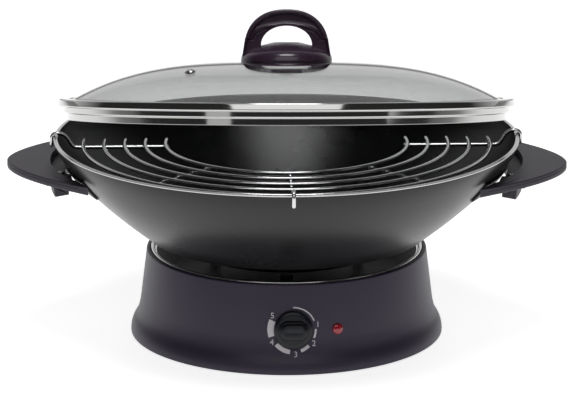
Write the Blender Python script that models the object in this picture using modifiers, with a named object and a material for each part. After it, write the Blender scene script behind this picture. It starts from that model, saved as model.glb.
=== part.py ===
"""An electric wok: a round heated base, a loose wok, a half-moon wire rack and a glass lid.

Metres, +Z up. The front, with the control knob, faces -Y, and the origin is the middle of the
footprint on the table. The lid is modelled as it leans in the wok, with its front raised.
"""

import bpy
import bmesh
from math import asin, atan2, cos, hypot, pi, radians, sin, sqrt
from mathutils import Vector

# Fits and facets shared by every piece
GAP = 0.0003                    # left between pieces that touch
OVERRUN = 0.004                 # how far a cutter runs past what it cuts
MERGE = 0.0001                  # points closer than this are one point
ROUND_STEPS = 40                # facets round the large turned pieces
KNOB_STEPS = 28
SMALL_STEPS = 12
SCREW_STEPS = 10
SECTOR = 2 * pi / ROUND_STEPS   # one facet of a large turned piece

# Housing of the base
HOUSING_HEIGHT = 0.068
TABLE_CLEARANCE = 0.001
HOUSING_TOP_RADIUS = 0.1092
WALL_SPREAD = 0.0054            # the wall widens by this down to the skirt
HOUSING_FOOT_RADIUS = HOUSING_TOP_RADIUS + WALL_SPREAD
KNOB_HEIGHT = HOUSING_HEIGHT / 2    # the controls sit halfway up the wall
SKIRT_DROP = 0.010              # the skirt starts this far under the knob's axis
SKIRT_HEIGHT = KNOB_HEIGHT - SKIRT_DROP
SKIRT_FLARE = 0.0076
SKIRT_RADIUS = HOUSING_FOOT_RADIUS + SKIRT_FLARE
HOUSING_WALL = 0.0025
LIP_WIDTH = 0.0029
LIP_RADIUS = HOUSING_TOP_RADIUS - LIP_WIDTH
LIP_ROUND = 0.0012
LEDGE_WIDTH = 0.0051
LEDGE_RADIUS = LIP_RADIUS - LEDGE_WIDTH
LIP_DEPTH = 0.006
LEDGE_HEIGHT = HOUSING_HEIGHT - LIP_DEPTH
SKIRT_SHARES = ((0.62, 0.30), (0.41, 0.75), (0.20, 0.97), (0.0, 1.0))   # height, flare
PILLAR_RADIUS = 0.0036
PILLAR_INSET = 0.002            # of their axes, outside the ledge's edge
PILLAR_RING_RADIUS = LEDGE_RADIUS + PILLAR_INSET
PILLAR_BEARINGS = (radians(30), radians(150), radians(210), radians(330))

# Bottom cover, its screws and the feet
COVER_HEIGHT = 0.003
COVER_SHEET = 0.002
COVER_SCREW_RADIUS = 0.0015
COVER_SCREW_RIM = 0.0015        # the head stands this far past the thread
COVER_SCREW_HEAD = COVER_SCREW_RADIUS + COVER_SCREW_RIM
COVER_SCREW_HEAD_HEIGHT = 0.0015
COVER_SCREW_LENGTH = 0.012
FOOT_RADIUS = 0.008
FOOT_INSET = 0.0166
FOOT_RING_RADIUS = HOUSING_FOOT_RADIUS - FOOT_INSET
FOOT_BEARINGS = (radians(60), radians(120), radians(240), radians(300))
SLOT_COUNT = 6
SLOT_LENGTH = 0.028
SLOT_WIDTH = 0.003
SLOT_RING_RADIUS = 0.055

# Well, trim ring and heating element
WELL_SHEET = 0.001
WELL_CLEARANCE = 0.001          # of the well's wall to the ledge's edge
WELL_MOUTH = LEDGE_RADIUS - WELL_CLEARANCE
WELL_TAPER = 0.0142
WELL_FLOOR_RADIUS = WELL_MOUTH - WELL_TAPER
WELL_DEPTH = 0.0155
WELL_FLOOR_HEIGHT = LEDGE_HEIGHT - WELL_DEPTH
WELL_BEND = 0.003
RING_PROUD = 0.001              # above the housing's lip
RING_HEIGHT = HOUSING_HEIGHT + RING_PROUD
RING_INNER = LEDGE_RADIUS
RING_SHARES = ((0.0, 0.60), (0.28, 1.0), (0.72, 1.0), (1.0, 0.60), (1.0, 0.0), (0.0, 0.0))
ELEMENT_INSET = 0.014
ELEMENT_RING_RADIUS = WELL_FLOOR_RADIUS - ELEMENT_INSET
ELEMENT_RADIUS = 0.0035
ELEMENT_GAP = radians(28)       # between the two ends, at the rear
ELEMENT_POINTS = 20
ELEMENT_BEND = 0.008
ELEMENT_LEG_DROP = 0.0105       # how far under the well's floor the legs end
ELEMENT_LEG_FOOT = WELL_FLOOR_HEIGHT - ELEMENT_LEG_DROP
SUPPORT_BEARINGS = (radians(30), radians(150), radians(270))
SUPPORT_SHEET = 0.0012
SUPPORT_WIDTH = 0.010
SUPPORT_FOOT = 0.010
SUPPORT_POST = 0.006            # the post stands this far inside the element
SUPPORT_SHELF = 0.004

# Controls on the front of the housing
KNOB_BEARING = radians(2.6)
KNOB_RADIUS = 0.0148
KNOB_STAND_OFF = 0.0006
KNOB_DISC = 0.0033
KNOB_TOTAL = 0.0125
GRIP_MARGIN = 0.0061            # what the bar leaves of the disc's width
GRIP_LENGTH = 2 * KNOB_RADIUS - GRIP_MARGIN
GRIP_WIDTH = 0.0145
GRIP_STEPS = 6
GRIP_SHARES = ((0.0, 1.0), (0.62, 0.90), (0.90, 0.80), (1.0, 0.70))     # height, size
KNOB_EDGE_SHARES = ((0.82, 1.0), (0.96, 0.66), (1.0, 0.25), (1.0, 0.0))  # radius, height
SHAFT_RADIUS = 0.003
SHAFT_SOCKET = 0.0085           # how deep the shaft goes into the knob
THERMOSTAT_FACE = 0.008         # behind the outer face of the wall
THERMOSTAT_WIDE = 0.030
THERMOSTAT_DEEP = 0.022
THERMOSTAT_ROOM = 0.0025        # kept free under the well's floor
THERMOSTAT_TALL = 2 * (WELL_FLOOR_HEIGHT - THERMOSTAT_ROOM - KNOB_HEIGHT)
THERMOSTAT_SOCKET = 0.006
BRACKET_HALF = 0.020
BRACKET_TALL = 0.018
BRACKET_SHEET = 0.0012
SENSOR_RADIUS = 0.001
BULB_RADIUS = 0.0025
BULB_LENGTH = 0.044
SENSOR_POINTS = 8
LAMP_DROP = 0.0011              # below the knob's axis
LAMP_HEIGHT = KNOB_HEIGHT - LAMP_DROP
LAMP_BEARING = radians(19.8)
LAMP_RADIUS = 0.0043
LAMP_RIM = 0.0011
LAMP_STEM = LAMP_RADIUS - LAMP_RIM
LAMP_RISE = 0.0022
LAMP_STEM_DEPTH = 0.0042
LAMP_BODY_RADIUS = LAMP_RADIUS
LAMP_BODY_LENGTH = 0.012
LENS_SHARES = ((0.0, 1.0), (0.50, 0.88), (0.86, 0.45), (1.0, 0.16))     # radius, rise

# Cord inlet at the rear, and the terminal block
GLAND_DROP = 0.004              # below the knob's axis
GLAND_HEIGHT = KNOB_HEIGHT - GLAND_DROP
GLAND_BORE = 0.00375
GLAND_WALL = 0.00175
GLAND_NECK = GLAND_BORE + GLAND_WALL
GLAND_RIM = 0.002
GLAND_FLANGE = GLAND_NECK + GLAND_RIM
GLAND_FLANGE_DEPTH = 0.002
GLAND_NOSE = 0.0045
GLAND_SEAT = 0.0006
TERMINAL_SIZE = (0.026, 0.014, 0.012)
TERMINAL_INSET = 0.0312
TERMINAL_PLACE = HOUSING_TOP_RADIUS - TERMINAL_INSET

# Wok: outer radii and heights above the table
RIM_RADIUS = 0.180
SEAT_LIFT = 0.006               # of the wok's flat underside above the housing
SEAT_HEIGHT = HOUSING_HEIGHT + SEAT_LIFT
WOK_HEIGHT = 0.0824
RIM_HEIGHT = SEAT_HEIGHT + WOK_HEIGHT
SHOULDER_RISE = 0.0068
BOWL_DEPTH = WOK_HEIGHT - SHOULDER_RISE     # from the rim down to the shoulder
SHOULDER_RADIUS = 0.1094        # where the wall turns under
BOWL_CURVE = 1.38               # power of the wall's curve
BOWL_WALL = 0.003
SEAT_MARGIN = 0.0174
SEAT_RADIUS = SHOULDER_RADIUS - SEAT_MARGIN # flat underside that sits on the heating element
FLOOR_SHEET = 0.004
WOK_TURN = radians(-1.2)        # the wok stands slightly turned on its base
WALL_DEPTH_SHARES = (0.05, 0.20, 0.40, 0.60, 0.80, 1.0)

# Handles of the wok
HANDLE_OVERHANG = 0.0372        # of the nose past the rim
HANDLE_REACH = RIM_RADIUS + HANDLE_OVERHANG
HANDLE_SPAN = 0.178             # chord where it meets the wok
HANDLE_DROP = 0.0194            # of its top below the rim
HANDLE_TOP = RIM_HEIGHT - HANDLE_DROP
HANDLE_SHEET = 0.006
HANDLE_NOSE_POWER = 1.12
HANDLE_NOSE_POINTS = 8
HANDLE_EDGE = 0.0012
RIDGE_PLACE = 0.0108            # from the edge along the wok out to the ridge
RIDGE_WIDTH = 0.003
RIDGE_RISE = 0.002
POCKET_DEPTH = 0.004
POCKET_BEARING = radians(20)
SADDLE_SHEET = 0.002
SADDLE_PROUD = 0.0015           # above the plate
SADDLE_TOP = HANDLE_TOP + SADDLE_PROUD
SADDLE_TALL = 0.0155
SADDLE_BOTTOM = SADDLE_TOP - SADDLE_TALL
SADDLE_SECTORS = 3              # on each side of the middle
TAB_SHEET = 0.0017
TAB_WIDTH = 0.014
TAB_END = 0.0055                # past the screw
HANDLE_SCREW_PLACE = 0.0041     # from the edge along the wok
HANDLE_SCREW_BEARING = radians(10.5)
HANDLE_SCREW_RADIUS = 0.0018
HANDLE_SCREW_RIM = 0.0014
HANDLE_SCREW_HEAD = HANDLE_SCREW_RADIUS + HANDLE_SCREW_RIM
HANDLE_SCREW_HEAD_HEIGHT = 0.0014
UNDER_WIDTH = 0.0121
UNDER_LIP = 0.008
UNDER_DROP = 0.012              # below the plate
UNDER_STEP = 0.0028
UNDER_BEARING = radians(16)
UNDER_SECTIONS = 5

# Rack of round wire
WIRE_RADIUS = 0.0015
RACK_DROP = 0.006               # from the rim down to the middle of the arcs
RACK_TURN = radians(1.7)
RACK_INSET = 0.0227
RACK_OUTER = RIM_RADIUS - RACK_INSET
RACK_PITCH = 0.0159
RACK_ARCS = 5
ARC_POINTS = 16
ARC_TAIL = 0.011                # the arcs end this far behind the rails
RAIL_PLACE = 0.002              # of the rails, from the axis towards the rear
RAIL_OVERHANG = 0.003
CROSS_BEARING = radians(48.3)   # from the rails towards the front
HOOK_INSET = 0.017              # where the wires start to climb, inside the rim
HOOK_START = RIM_RADIUS - HOOK_INSET
HOOK_CREST = 0.0022             # the wire's middle above the rim
HOOK_DROP = 0.009
HOOK_SHARES = ((0.0, 0.0), (0.14, 0.10), (0.26, 0.38), (0.38, 0.72), (0.54, 0.95), (0.72, 1.0),
               (0.90, 0.97), (0.985, 0.80))                              # reach, rise

# Lid: radii in its own frame, heights above the underside of the flange
LID_TILT = radians(12.2)
LID_RISE = 0.0240               # middle of the flange's underside above the rim
LID_INSET = 0.0037
LID_RADIUS = RIM_RADIUS - LID_INSET
RING_SHEET = 0.001
CHANNEL_WIDTH = 0.0093
CHANNEL_INNER = LID_RADIUS - CHANNEL_WIDTH
SKIRT_INSET = 0.0035
SKIRT_TOP_RADIUS = LID_RADIUS - SKIRT_INSET
SKIRT_TAPER = 0.0039
LID_SKIRT_RADIUS = SKIRT_TOP_RADIUS - SKIRT_TAPER
LID_SKIRT_DROP = 0.0102
GLASS_SHEET = 0.0037
FLANGE_HEIGHT = 2 * RING_SHEET + GLASS_SHEET + GAP  # the flange wraps the glass
GLASS_MARGIN = 0.001
GLASS_RADIUS = CHANNEL_INNER - GLASS_MARGIN # where the dome starts
DOME_RISE = 0.0296
DOME_POWER = 3.2
DOME_SHARES = (0.25, 0.50, 0.68, 0.82, 0.92, 1.0)
VENT_PLACE = (-0.072, -0.077)
VENT_RADIUS = 0.0045
VENT_RIM = 0.0013
VENT_BARREL = VENT_RADIUS - VENT_RIM
VENT_WALL = 0.0012
VENT_BORE = VENT_BARREL - VENT_WALL
VENT_FLANGE = 0.0011

# Knob of the lid, heights above its own underside
GRIP_BASE_RADIUS = 0.0354
GRIP_BASE_HEIGHT = 0.0145
GRIP_BASE_SHARES = ((0.0, 1.0), (0.28, 0.98), (0.52, 0.89), (0.76, 0.63), (0.94, 0.37),
                    (1.0, 0.26), (1.0, 0.04), (0.975, 0.0), (0.0, 0.0))  # radius, height
ARCH_HEIGHT = 0.0397
ARCH_FOOT_INSET = 0.0012
ARCH_FOOT_HALF = GRIP_BASE_RADIUS - ARCH_FOOT_INSET
ARCH_TAPER = 0.0016
ARCH_HALF = ARCH_FOOT_HALF - ARCH_TAPER
ARCH_CENTRE = 0.008
ARCH_POWER = 2.3
ARCH_DEPTH = 0.022
ARCH_FOOT_HEIGHT = 0.0040
ARCH_SHOULDER = 0.0172
ARCH_POINTS = 6
ARCH_EDGE = 0.0016
CREST_SHEET = 0.0033
CREST_MARGIN = 0.0015           # past the arch on each side
CREST_DEPTH = ARCH_DEPTH + 2 * CREST_MARGIN
ARCH_LEG = 0.0128
OPENING_HALF = ARCH_HALF - ARCH_LEG
ARCH_CROWN = 0.0127
OPENING_TOP = ARCH_HEIGHT - ARCH_CROWN
OPENING_RISE = 0.0115
OPENING_SPRING = OPENING_TOP - OPENING_RISE
OPENING_POWER = 2.4
LID_SCREW_RADIUS = 0.0022
LID_SCREW_BORE = LID_SCREW_RADIUS + GAP
LID_SCREW_DEPTH = 0.009
LID_SCREW_RIM = 0.0028
LID_SCREW_HEAD = LID_SCREW_RADIUS + LID_SCREW_RIM
LID_SCREW_HEAD_HEIGHT = 0.0022
WASHER_RADIUS = 0.012
GLASS_HOLE_MARGIN = 0.0013
GLASS_HOLE = LID_SCREW_RADIUS + GLASS_HOLE_MARGIN
WASHER_SHEET = 0.0015

# Colours (linear), roughness and metallic value
FINISHES = {
    "aubergine_plastic": ((0.050, 0.040, 0.056), 0.45, 0.0),
    "knob_plastic": ((0.033, 0.020, 0.036), 0.40, 0.0),
    "coated_bowl": ((0.035, 0.034, 0.036), 0.42, 0.3),
    "black_plastic": ((0.012, 0.012, 0.014), 0.45, 0.0),
    "red_lens": ((0.42, 0.010, 0.014), 0.15, 0.0),
    "chrome": ((0.72, 0.72, 0.72), 0.12, 1.0),
    "polished_steel": ((0.62, 0.62, 0.62), 0.18, 1.0),
    "black_steel": ((0.015, 0.015, 0.016), 0.5, 0.6),
    "element_steel": ((0.10, 0.10, 0.10), 0.45, 1.0),
    "zinc": ((0.45, 0.45, 0.44), 0.4, 1.0),
    "rubber": ((0.02, 0.02, 0.02), 0.85, 0.0),
    "beige_plastic": ((0.50, 0.46, 0.36), 0.6, 0.0),
    "glass": ((0.80, 0.82, 0.82), 0.05, 0.0),
}


# Scene and materials

def start_clean():
    """Remove every object and make the two collections."""
    for old in list(bpy.data.objects):
        bpy.data.objects.remove(old, do_unlink=True)
    made = []
    for title in ("electric_wok", "cutters"):
        group = bpy.data.collections.new(title)
        bpy.context.scene.collection.children.link(group)
        made.append(group)
    return made


PARTS, CUTTERS = start_clean()


def finish(name):
    """The Principled material of one finish, made when it is first used."""
    if name in bpy.data.materials:
        return bpy.data.materials[name]
    colour, roughness, metallic = FINISHES[name]
    material = bpy.data.materials.new(name)
    material.use_nodes = True
    shader = material.node_tree.nodes["Principled BSDF"]
    shader.inputs["Base Color"].default_value = (*colour, 1.0)
    shader.inputs["Roughness"].default_value = roughness
    shader.inputs["Metallic"].default_value = metallic
    material.diffuse_color = (*colour, 1.0)
    return material


def frame(name, parent=None, place=(0, 0, 0), turn=(0, 0, 0)):
    """An empty that carries pieces: a body's own frame or a control's axis."""
    empty = bpy.data.objects.new(name, None)
    PARTS.objects.link(empty)
    empty.parent = parent
    empty.location = place
    empty.rotation_euler = turn
    return empty


def put(name, data, look, parent, place=(0, 0, 0), turn=(0, 0, 0)):
    """An object with its finish, or a cutter where look is None."""
    piece = bpy.data.objects.new(name, data)
    piece.parent = parent
    piece.location = place
    piece.rotation_euler = turn
    if look is None:
        CUTTERS.objects.link(piece)
        piece.hide_render = True
        piece.display_type = "WIRE"
    else:
        PARTS.objects.link(piece)
        data.materials.append(finish(look))
    return piece


def mesh_of(name, points, edges=(), faces=()):
    mesh = bpy.data.meshes.new(name)
    mesh.from_pydata([tuple(p) for p in points], list(edges), list(faces))
    return mesh


def from_bmesh(name, bm, smooth_angle=radians(35)):
    bmesh.ops.recalc_face_normals(bm, faces=bm.faces)
    mesh = bpy.data.meshes.new(name)
    bm.to_mesh(mesh)
    bm.free()
    mesh.shade_smooth()
    mesh.set_sharp_from_angle(angle=smooth_angle)
    return mesh


# Shapes

def turned(name, outline, look, parent, steps=ROUND_STEPS, closed=False, wall=0, **where):
    """A profile turned about Z. Its points (radius, height) run down the outer side.

    A closed outline is a ring. With a wall, an open outline is the outer side of a shell.
    """
    count = len(outline)
    edges = [(i, i + 1) for i in range(count - 1)]
    if closed:
        edges.append((count - 1, 0))
    mesh = mesh_of(name, [(r, 0, z) for r, z in outline], edges)
    piece = put(name, mesh, look, parent, **where)
    turn = piece.modifiers.new("turn", "SCREW")
    turn.steps = steps
    turn.render_steps = steps
    turn.use_merge_vertices = True
    turn.merge_threshold = MERGE
    if wall:
        shell = piece.modifiers.new("wall", "SOLIDIFY")
        shell.thickness = wall
        shell.offset = -1
        shell.use_even_offset = True
    return piece


def cylinder(name, radius, low, high, look, parent, steps=SMALL_STEPS, **where):
    """A cylinder on Z from one height to another."""
    bm = bmesh.new()
    bmesh.ops.create_cone(bm, cap_ends=True, segments=steps, radius1=radius, radius2=radius,
                          depth=high - low)
    bmesh.ops.translate(bm, verts=bm.verts, vec=(0, 0, (low + high) / 2))
    return put(name, from_bmesh(name, bm), look, parent, **where)


def box(name, low, high, look, parent, **where):
    """A box from its lowest to its highest corner."""
    size = Vector(high) - Vector(low)
    middle = (Vector(high) + Vector(low)) / 2
    bm = bmesh.new()
    bmesh.ops.create_cube(bm, size=1)
    bmesh.ops.scale(bm, verts=bm.verts, vec=size)
    bmesh.ops.translate(bm, verts=bm.verts, vec=middle)
    return put(name, from_bmesh(name, bm), look, parent, **where)


def plate(name, outline, low, high, look, parent, lie="flat", **where):
    """A flat outline made thick: lying on XY, or upright on XZ with its depth along Y."""
    bm = bmesh.new()
    if lie == "flat":
        corners = [bm.verts.new((x, y, low)) for x, y in outline]
        step = Vector((0, 0, high - low))
    else:
        corners = [bm.verts.new((x, low, z)) for x, z in outline]
        step = Vector((0, high - low, 0))
    face = bm.faces.new(corners)
    raised = bmesh.ops.extrude_face_region(bm, geom=[face])
    moved = [v for v in raised["geom"] if isinstance(v, bmesh.types.BMVert)]
    bmesh.ops.translate(bm, verts=moved, vec=step)
    return put(name, from_bmesh(name, bm), look, parent, **where)


def loft(name, sections, look, parent, **where):
    """A solid through closed sections that all have the same number of points."""
    bm = bmesh.new()
    rings = [[bm.verts.new(point) for point in section] for section in sections]
    count = len(rings[0])
    for lower, upper in zip(rings, rings[1:]):
        for i in range(count):
            j = (i + 1) % count
            bm.faces.new((lower[i], lower[j], upper[j], upper[i]))
    bm.faces.new(rings[0])
    bm.faces.new(rings[-1])
    return put(name, from_bmesh(name, bm), look, parent, **where)


def sector(name, outline, bearings, look, parent, **where):
    """A closed outline (radius, height) carried round Z through the bearings."""
    sections = [[(r * cos(a), r * sin(a), z) for r, z in outline] for a in bearings]
    return loft(name, sections, look, parent, **where)


def strip(name, route, width, sheet, look, parent, **where):
    """A bent sheet: a route (along, up) made wide across Y, then thick both ways."""
    half = width / 2
    points = [(x, side * half, z) for x, z in route for side in (-1, 1)]
    faces = [(2 * i, 2 * i + 1, 2 * i + 3, 2 * i + 2) for i in range(len(route) - 1)]
    piece = put(name, mesh_of(name, points, (), faces), look, parent, **where)
    thick = piece.modifiers.new("sheet", "SOLIDIFY")
    thick.thickness = sheet
    thick.offset = 0
    thick.use_even_offset = True
    return piece


def wire(name, route, radius, look, parent, widths=None, **where):
    """A round wire along a route, eight-sided and capped."""
    curve = bpy.data.curves.new(name, "CURVE")
    curve.dimensions = "3D"
    spline = curve.splines.new("POLY")
    spline.points.add(len(route) - 1)
    for i, (point, place) in enumerate(zip(spline.points, route)):
        point.co = (*place, 1)
        point.radius = widths[i] if widths else 1
    curve.bevel_depth = radius
    curve.bevel_resolution = 2
    curve.use_fill_caps = True
    return put(name, curve, look, parent, **where)


def boolean(piece, other, operation):
    step = piece.modifiers.new(other.name, "BOOLEAN")
    step.operation = operation
    step.solver = "EXACT"
    step.object = other


def cut(piece, other):
    boolean(piece, other, "DIFFERENCE")


def join(piece, other):
    boolean(piece, other, "UNION")


def round_edges(piece, width, segments=2, angle=radians(40)):
    edge = piece.modifiers.new("edge", "BEVEL")
    edge.width = width
    edge.segments = segments
    edge.limit_method = "ANGLE"
    edge.angle_limit = angle


def between(low, high, share):
    return low + (high - low) * share


def spaced(low, high, count):
    """Evenly spaced values, both ends included."""
    return [between(low, high, i / (count - 1)) for i in range(count)]


def radius_at(outline, height):
    """The radius of a falling outline at one height."""
    for (r0, z0), (r1, z1) in zip(outline, outline[1:]):
        if z1 <= height <= z0 and z0 > z1:
            return between(r0, r1, (z0 - height) / (z0 - z1))
    return outline[-1][0] if height < outline[-1][1] else outline[0][0]


def polar(radius, bearing, height=0):
    return (radius * cos(bearing), radius * sin(bearing), height)


# Housing of the base

def skirt_point(height_share, flare_share):
    return (between(HOUSING_FOOT_RADIUS, SKIRT_RADIUS, flare_share),
            between(TABLE_CLEARANCE, SKIRT_HEIGHT, height_share))


WALL_TOP = (HOUSING_TOP_RADIUS, HOUSING_HEIGHT - LIP_ROUND)
WALL_FOOT = (HOUSING_FOOT_RADIUS, SKIRT_HEIGHT)
WALL_LEAN = atan2(WALL_FOOT[0] - WALL_TOP[0], WALL_TOP[1] - WALL_FOOT[1])
HOUSING_SIDE = [WALL_TOP, WALL_FOOT] + [skirt_point(*share) for share in SKIRT_SHARES]
LEDGE_UNDER = LEDGE_HEIGHT - HOUSING_WALL


def on_wall(name, bearing, height, parent):
    """A frame on the outer face of the housing, with its -Y square to the wall."""
    radius = radius_at(HOUSING_SIDE, height)
    place = (radius * sin(bearing), -radius * cos(bearing), height)
    return frame(name, parent, place, (-WALL_LEAN, 0, bearing))


OUTWARD = (pi / 2, 0, 0)        # lays a turned piece's +Z along a wall frame's -Y


def base_housing(base):
    """The moulded shell: lip, leaning wall, flared skirt and the ledge that carries the well."""
    outer = [(LIP_RADIUS, HOUSING_HEIGHT), (HOUSING_TOP_RADIUS - LIP_ROUND, HOUSING_HEIGHT)]
    outer += HOUSING_SIDE
    inner = [(r - HOUSING_WALL, z) for r, z in reversed(HOUSING_SIDE[1:])]
    ledge_wall = radius_at(HOUSING_SIDE, LEDGE_UNDER) - HOUSING_WALL
    inner += [(ledge_wall, LEDGE_UNDER), (LEDGE_RADIUS, LEDGE_UNDER), (LEDGE_RADIUS, LEDGE_HEIGHT),
              (LIP_RADIUS, LEDGE_HEIGHT)]
    housing = turned("base_housing", outer + inner, "aubergine_plastic", base, closed=True)
    for i, bearing in enumerate(PILLAR_BEARINGS):
        bore = COVER_SCREW_RADIUS + GAP
        foot = COVER_HEIGHT + COVER_SHEET + GAP
        top = between(LEDGE_UNDER, LEDGE_HEIGHT, 1 / 2)
        tube = [(bore, top), (PILLAR_RADIUS, top), (PILLAR_RADIUS, foot), (bore, foot)]
        pillar = turned(f"pillar_{i + 1}", tube, None, base, SCREW_STEPS, closed=True,
                        place=polar(PILLAR_RING_RADIUS, bearing))
        join(housing, pillar)
    return housing


def wall_hole(housing, at, name, radius):
    """A round hole square through the housing's wall."""
    reach = HOUSING_WALL + OVERRUN
    cutter = cylinder(name, radius, -reach, OVERRUN, None, at, turn=OUTWARD)
    cut(housing, cutter)


def bottom_cover(base):
    """A flat cover inside the skirt, with vent slots and holes for its screws."""
    top = COVER_HEIGHT + COVER_SHEET
    radius = radius_at(HOUSING_SIDE, top) - HOUSING_WALL - GAP
    outline = [(0, top), (radius, top), (radius, COVER_HEIGHT), (0, COVER_HEIGHT)]
    cover = turned("bottom_cover", outline, "black_plastic", base)
    for i in range(SLOT_COUNT):
        bearing = 2 * pi * i / SLOT_COUNT
        low = (SLOT_RING_RADIUS - SLOT_LENGTH / 2, -SLOT_WIDTH / 2, COVER_HEIGHT - OVERRUN)
        high = (SLOT_RING_RADIUS + SLOT_LENGTH / 2, SLOT_WIDTH / 2, top + OVERRUN)
        cut(cover, box(f"slot_{i + 1}", low, high, None, base, turn=(0, 0, bearing)))
    for i, bearing in enumerate(PILLAR_BEARINGS):
        hole = cylinder(f"cover_hole_{i + 1}", COVER_SCREW_RADIUS + GAP, COVER_HEIGHT - OVERRUN,
                        top + OVERRUN, None, base, SCREW_STEPS,
                        place=polar(PILLAR_RING_RADIUS, bearing))
        cut(cover, hole)


def cover_screws_and_feet(base):
    for i, bearing in enumerate(PILLAR_BEARINGS):
        seat = COVER_HEIGHT - GAP
        head = seat - COVER_SCREW_HEAD_HEIGHT
        tip = seat + COVER_SCREW_LENGTH
        outline = [(0, tip), (COVER_SCREW_RADIUS, tip), (COVER_SCREW_RADIUS, seat),
                   (COVER_SCREW_HEAD, seat), (COVER_SCREW_HEAD, head), (0, head)]
        turned(f"cover_screw_{i + 1}", outline, "zinc", base, SCREW_STEPS,
               place=polar(PILLAR_RING_RADIUS, bearing))
    for i, bearing in enumerate(FOOT_BEARINGS):
        cylinder(f"foot_{i + 1}", FOOT_RADIUS, 0, COVER_HEIGHT - GAP, "rubber", base,
                 place=polar(FOOT_RING_RADIUS, bearing))


# Well, ring and heating element

WELL_FLANGE = LEDGE_HEIGHT + GAP
WELL_FLOOR_TOP = WELL_FLOOR_HEIGHT + WELL_SHEET
ELEMENT_HEIGHT = SEAT_HEIGHT - GAP - ELEMENT_RADIUS


def element_ends():
    """The bearings of the element's two ends, on either side of the rear."""
    return pi / 2 + ELEMENT_GAP / 2, 5 * pi / 2 - ELEMENT_GAP / 2


def well_liner(base):
    """The pressed dish under the wok: a flange on the ledge, a leaning wall and a flat floor."""
    flange = LIP_RADIUS - GAP
    outline = [(flange, WELL_FLANGE), (WELL_MOUTH, WELL_FLANGE),
               (WELL_FLOOR_RADIUS + WELL_BEND, WELL_FLOOR_HEIGHT + WELL_BEND),
               (WELL_FLOOR_RADIUS, WELL_FLOOR_HEIGHT), (0, WELL_FLOOR_HEIGHT)]
    liner = turned("well_liner", outline, "black_steel", base, wall=WELL_SHEET)
    for side, (x, y) in zip(("left", "right"), element_legs()):
        hole = cylinder(f"leg_hole_{side}", ELEMENT_RADIUS + GAP, WELL_FLOOR_HEIGHT - OVERRUN,
                        WELL_FLOOR_TOP + OVERRUN, None, base, place=(x, y, 0))
        cut(liner, hole)


def trim_ring(base):
    """The bright bead on the well's flange, just inside the housing's lip."""
    foot = WELL_FLANGE + WELL_SHEET + GAP
    outer = LIP_RADIUS - GAP
    outline = [(between(RING_INNER, outer, r), between(foot, RING_HEIGHT, z))
               for r, z in RING_SHARES]
    turned("trim_ring", outline, "chrome", base, closed=True)


def element_legs():
    """Where the two legs go down through the well's floor."""
    first, last = element_ends()
    legs = []
    for bearing, way in ((first, -1), (last, 1)):
        x, y, _ = polar(ELEMENT_RING_RADIUS, bearing)
        legs.append((x - way * ELEMENT_BEND * sin(bearing), y + way * ELEMENT_BEND * cos(bearing)))
    return legs


def heating_element(base):
    """An open ring of tube whose ends bend down through the floor of the well."""
    first, last = element_ends()
    ring = [polar(ELEMENT_RING_RADIUS, a, ELEMENT_HEIGHT) for a in spaced(first, last, ELEMENT_POINTS)]
    ends = []
    for bearing, way in ((first, -1), (last, 1)):
        x, y, _ = polar(ELEMENT_RING_RADIUS, bearing)
        tail = []
        for turn in spaced(radians(30), radians(90), 3):
            along = way * ELEMENT_BEND * sin(turn)
            down = ELEMENT_BEND * (1 - cos(turn))
            tail.append((x - along * sin(bearing), y + along * cos(bearing),
                         ELEMENT_HEIGHT - down))
        tail.append((*tail[-1][:2], ELEMENT_LEG_FOOT))
        ends.append(tail)
    route = list(reversed(ends[0])) + ring + ends[1]
    wire("heating_element", route, ELEMENT_RADIUS, "element_steel", base)
    floor = WELL_FLOOR_TOP + GAP + SUPPORT_SHEET / 2
    shelf = ELEMENT_HEIGHT - ELEMENT_RADIUS - GAP - SUPPORT_SHEET / 2
    post = ELEMENT_RING_RADIUS - SUPPORT_POST
    outline = [(post - SUPPORT_FOOT, floor), (post, floor), (post, shelf),
               (ELEMENT_RING_RADIUS + SUPPORT_SHELF, shelf)]
    for i, bearing in enumerate(SUPPORT_BEARINGS):
        strip(f"element_support_{i + 1}", outline, SUPPORT_WIDTH, SUPPORT_SHEET, "zinc", base,
              turn=(0, 0, bearing))


# Controls

def control_knob(at):
    """A low disc with a bevelled bar to grip, and a socket for the shaft at its back."""
    back = KNOB_STAND_OFF
    face = back + KNOB_DISC
    outline = [(0, face)]
    outline += [(KNOB_RADIUS * r, between(back, face, z)) for r, z in KNOB_EDGE_SHARES]
    outline[1] = (outline[1][0], face)
    outline.append((0, back))
    knob = turned("control_knob", outline, "black_plastic", at, KNOB_STEPS, turn=OUTWARD)
    root = back + KNOB_DISC / 2
    sections = []
    for rise, size in GRIP_SHARES:
        radius = GRIP_WIDTH / 2 * size
        reach = GRIP_LENGTH / 2 * size - radius + (1 - size) * radius / 2
        height = between(root, back + KNOB_TOTAL, rise)
        section = []
        for side, start in ((1, -pi / 2), (-1, pi / 2)):
            for bearing in spaced(start, start + pi, GRIP_STEPS):
                section.append((side * reach + radius * cos(bearing), radius * sin(bearing),
                                height))
        sections.append(section)
    grip = loft("grip_bar", sections, None, at, turn=OUTWARD)
    join(knob, grip)
    socket = cylinder("shaft_socket", SHAFT_RADIUS + GAP, back - OVERRUN,
                      back + SHAFT_SOCKET + GAP, None, at, turn=OUTWARD)
    cut(knob, socket)


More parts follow.
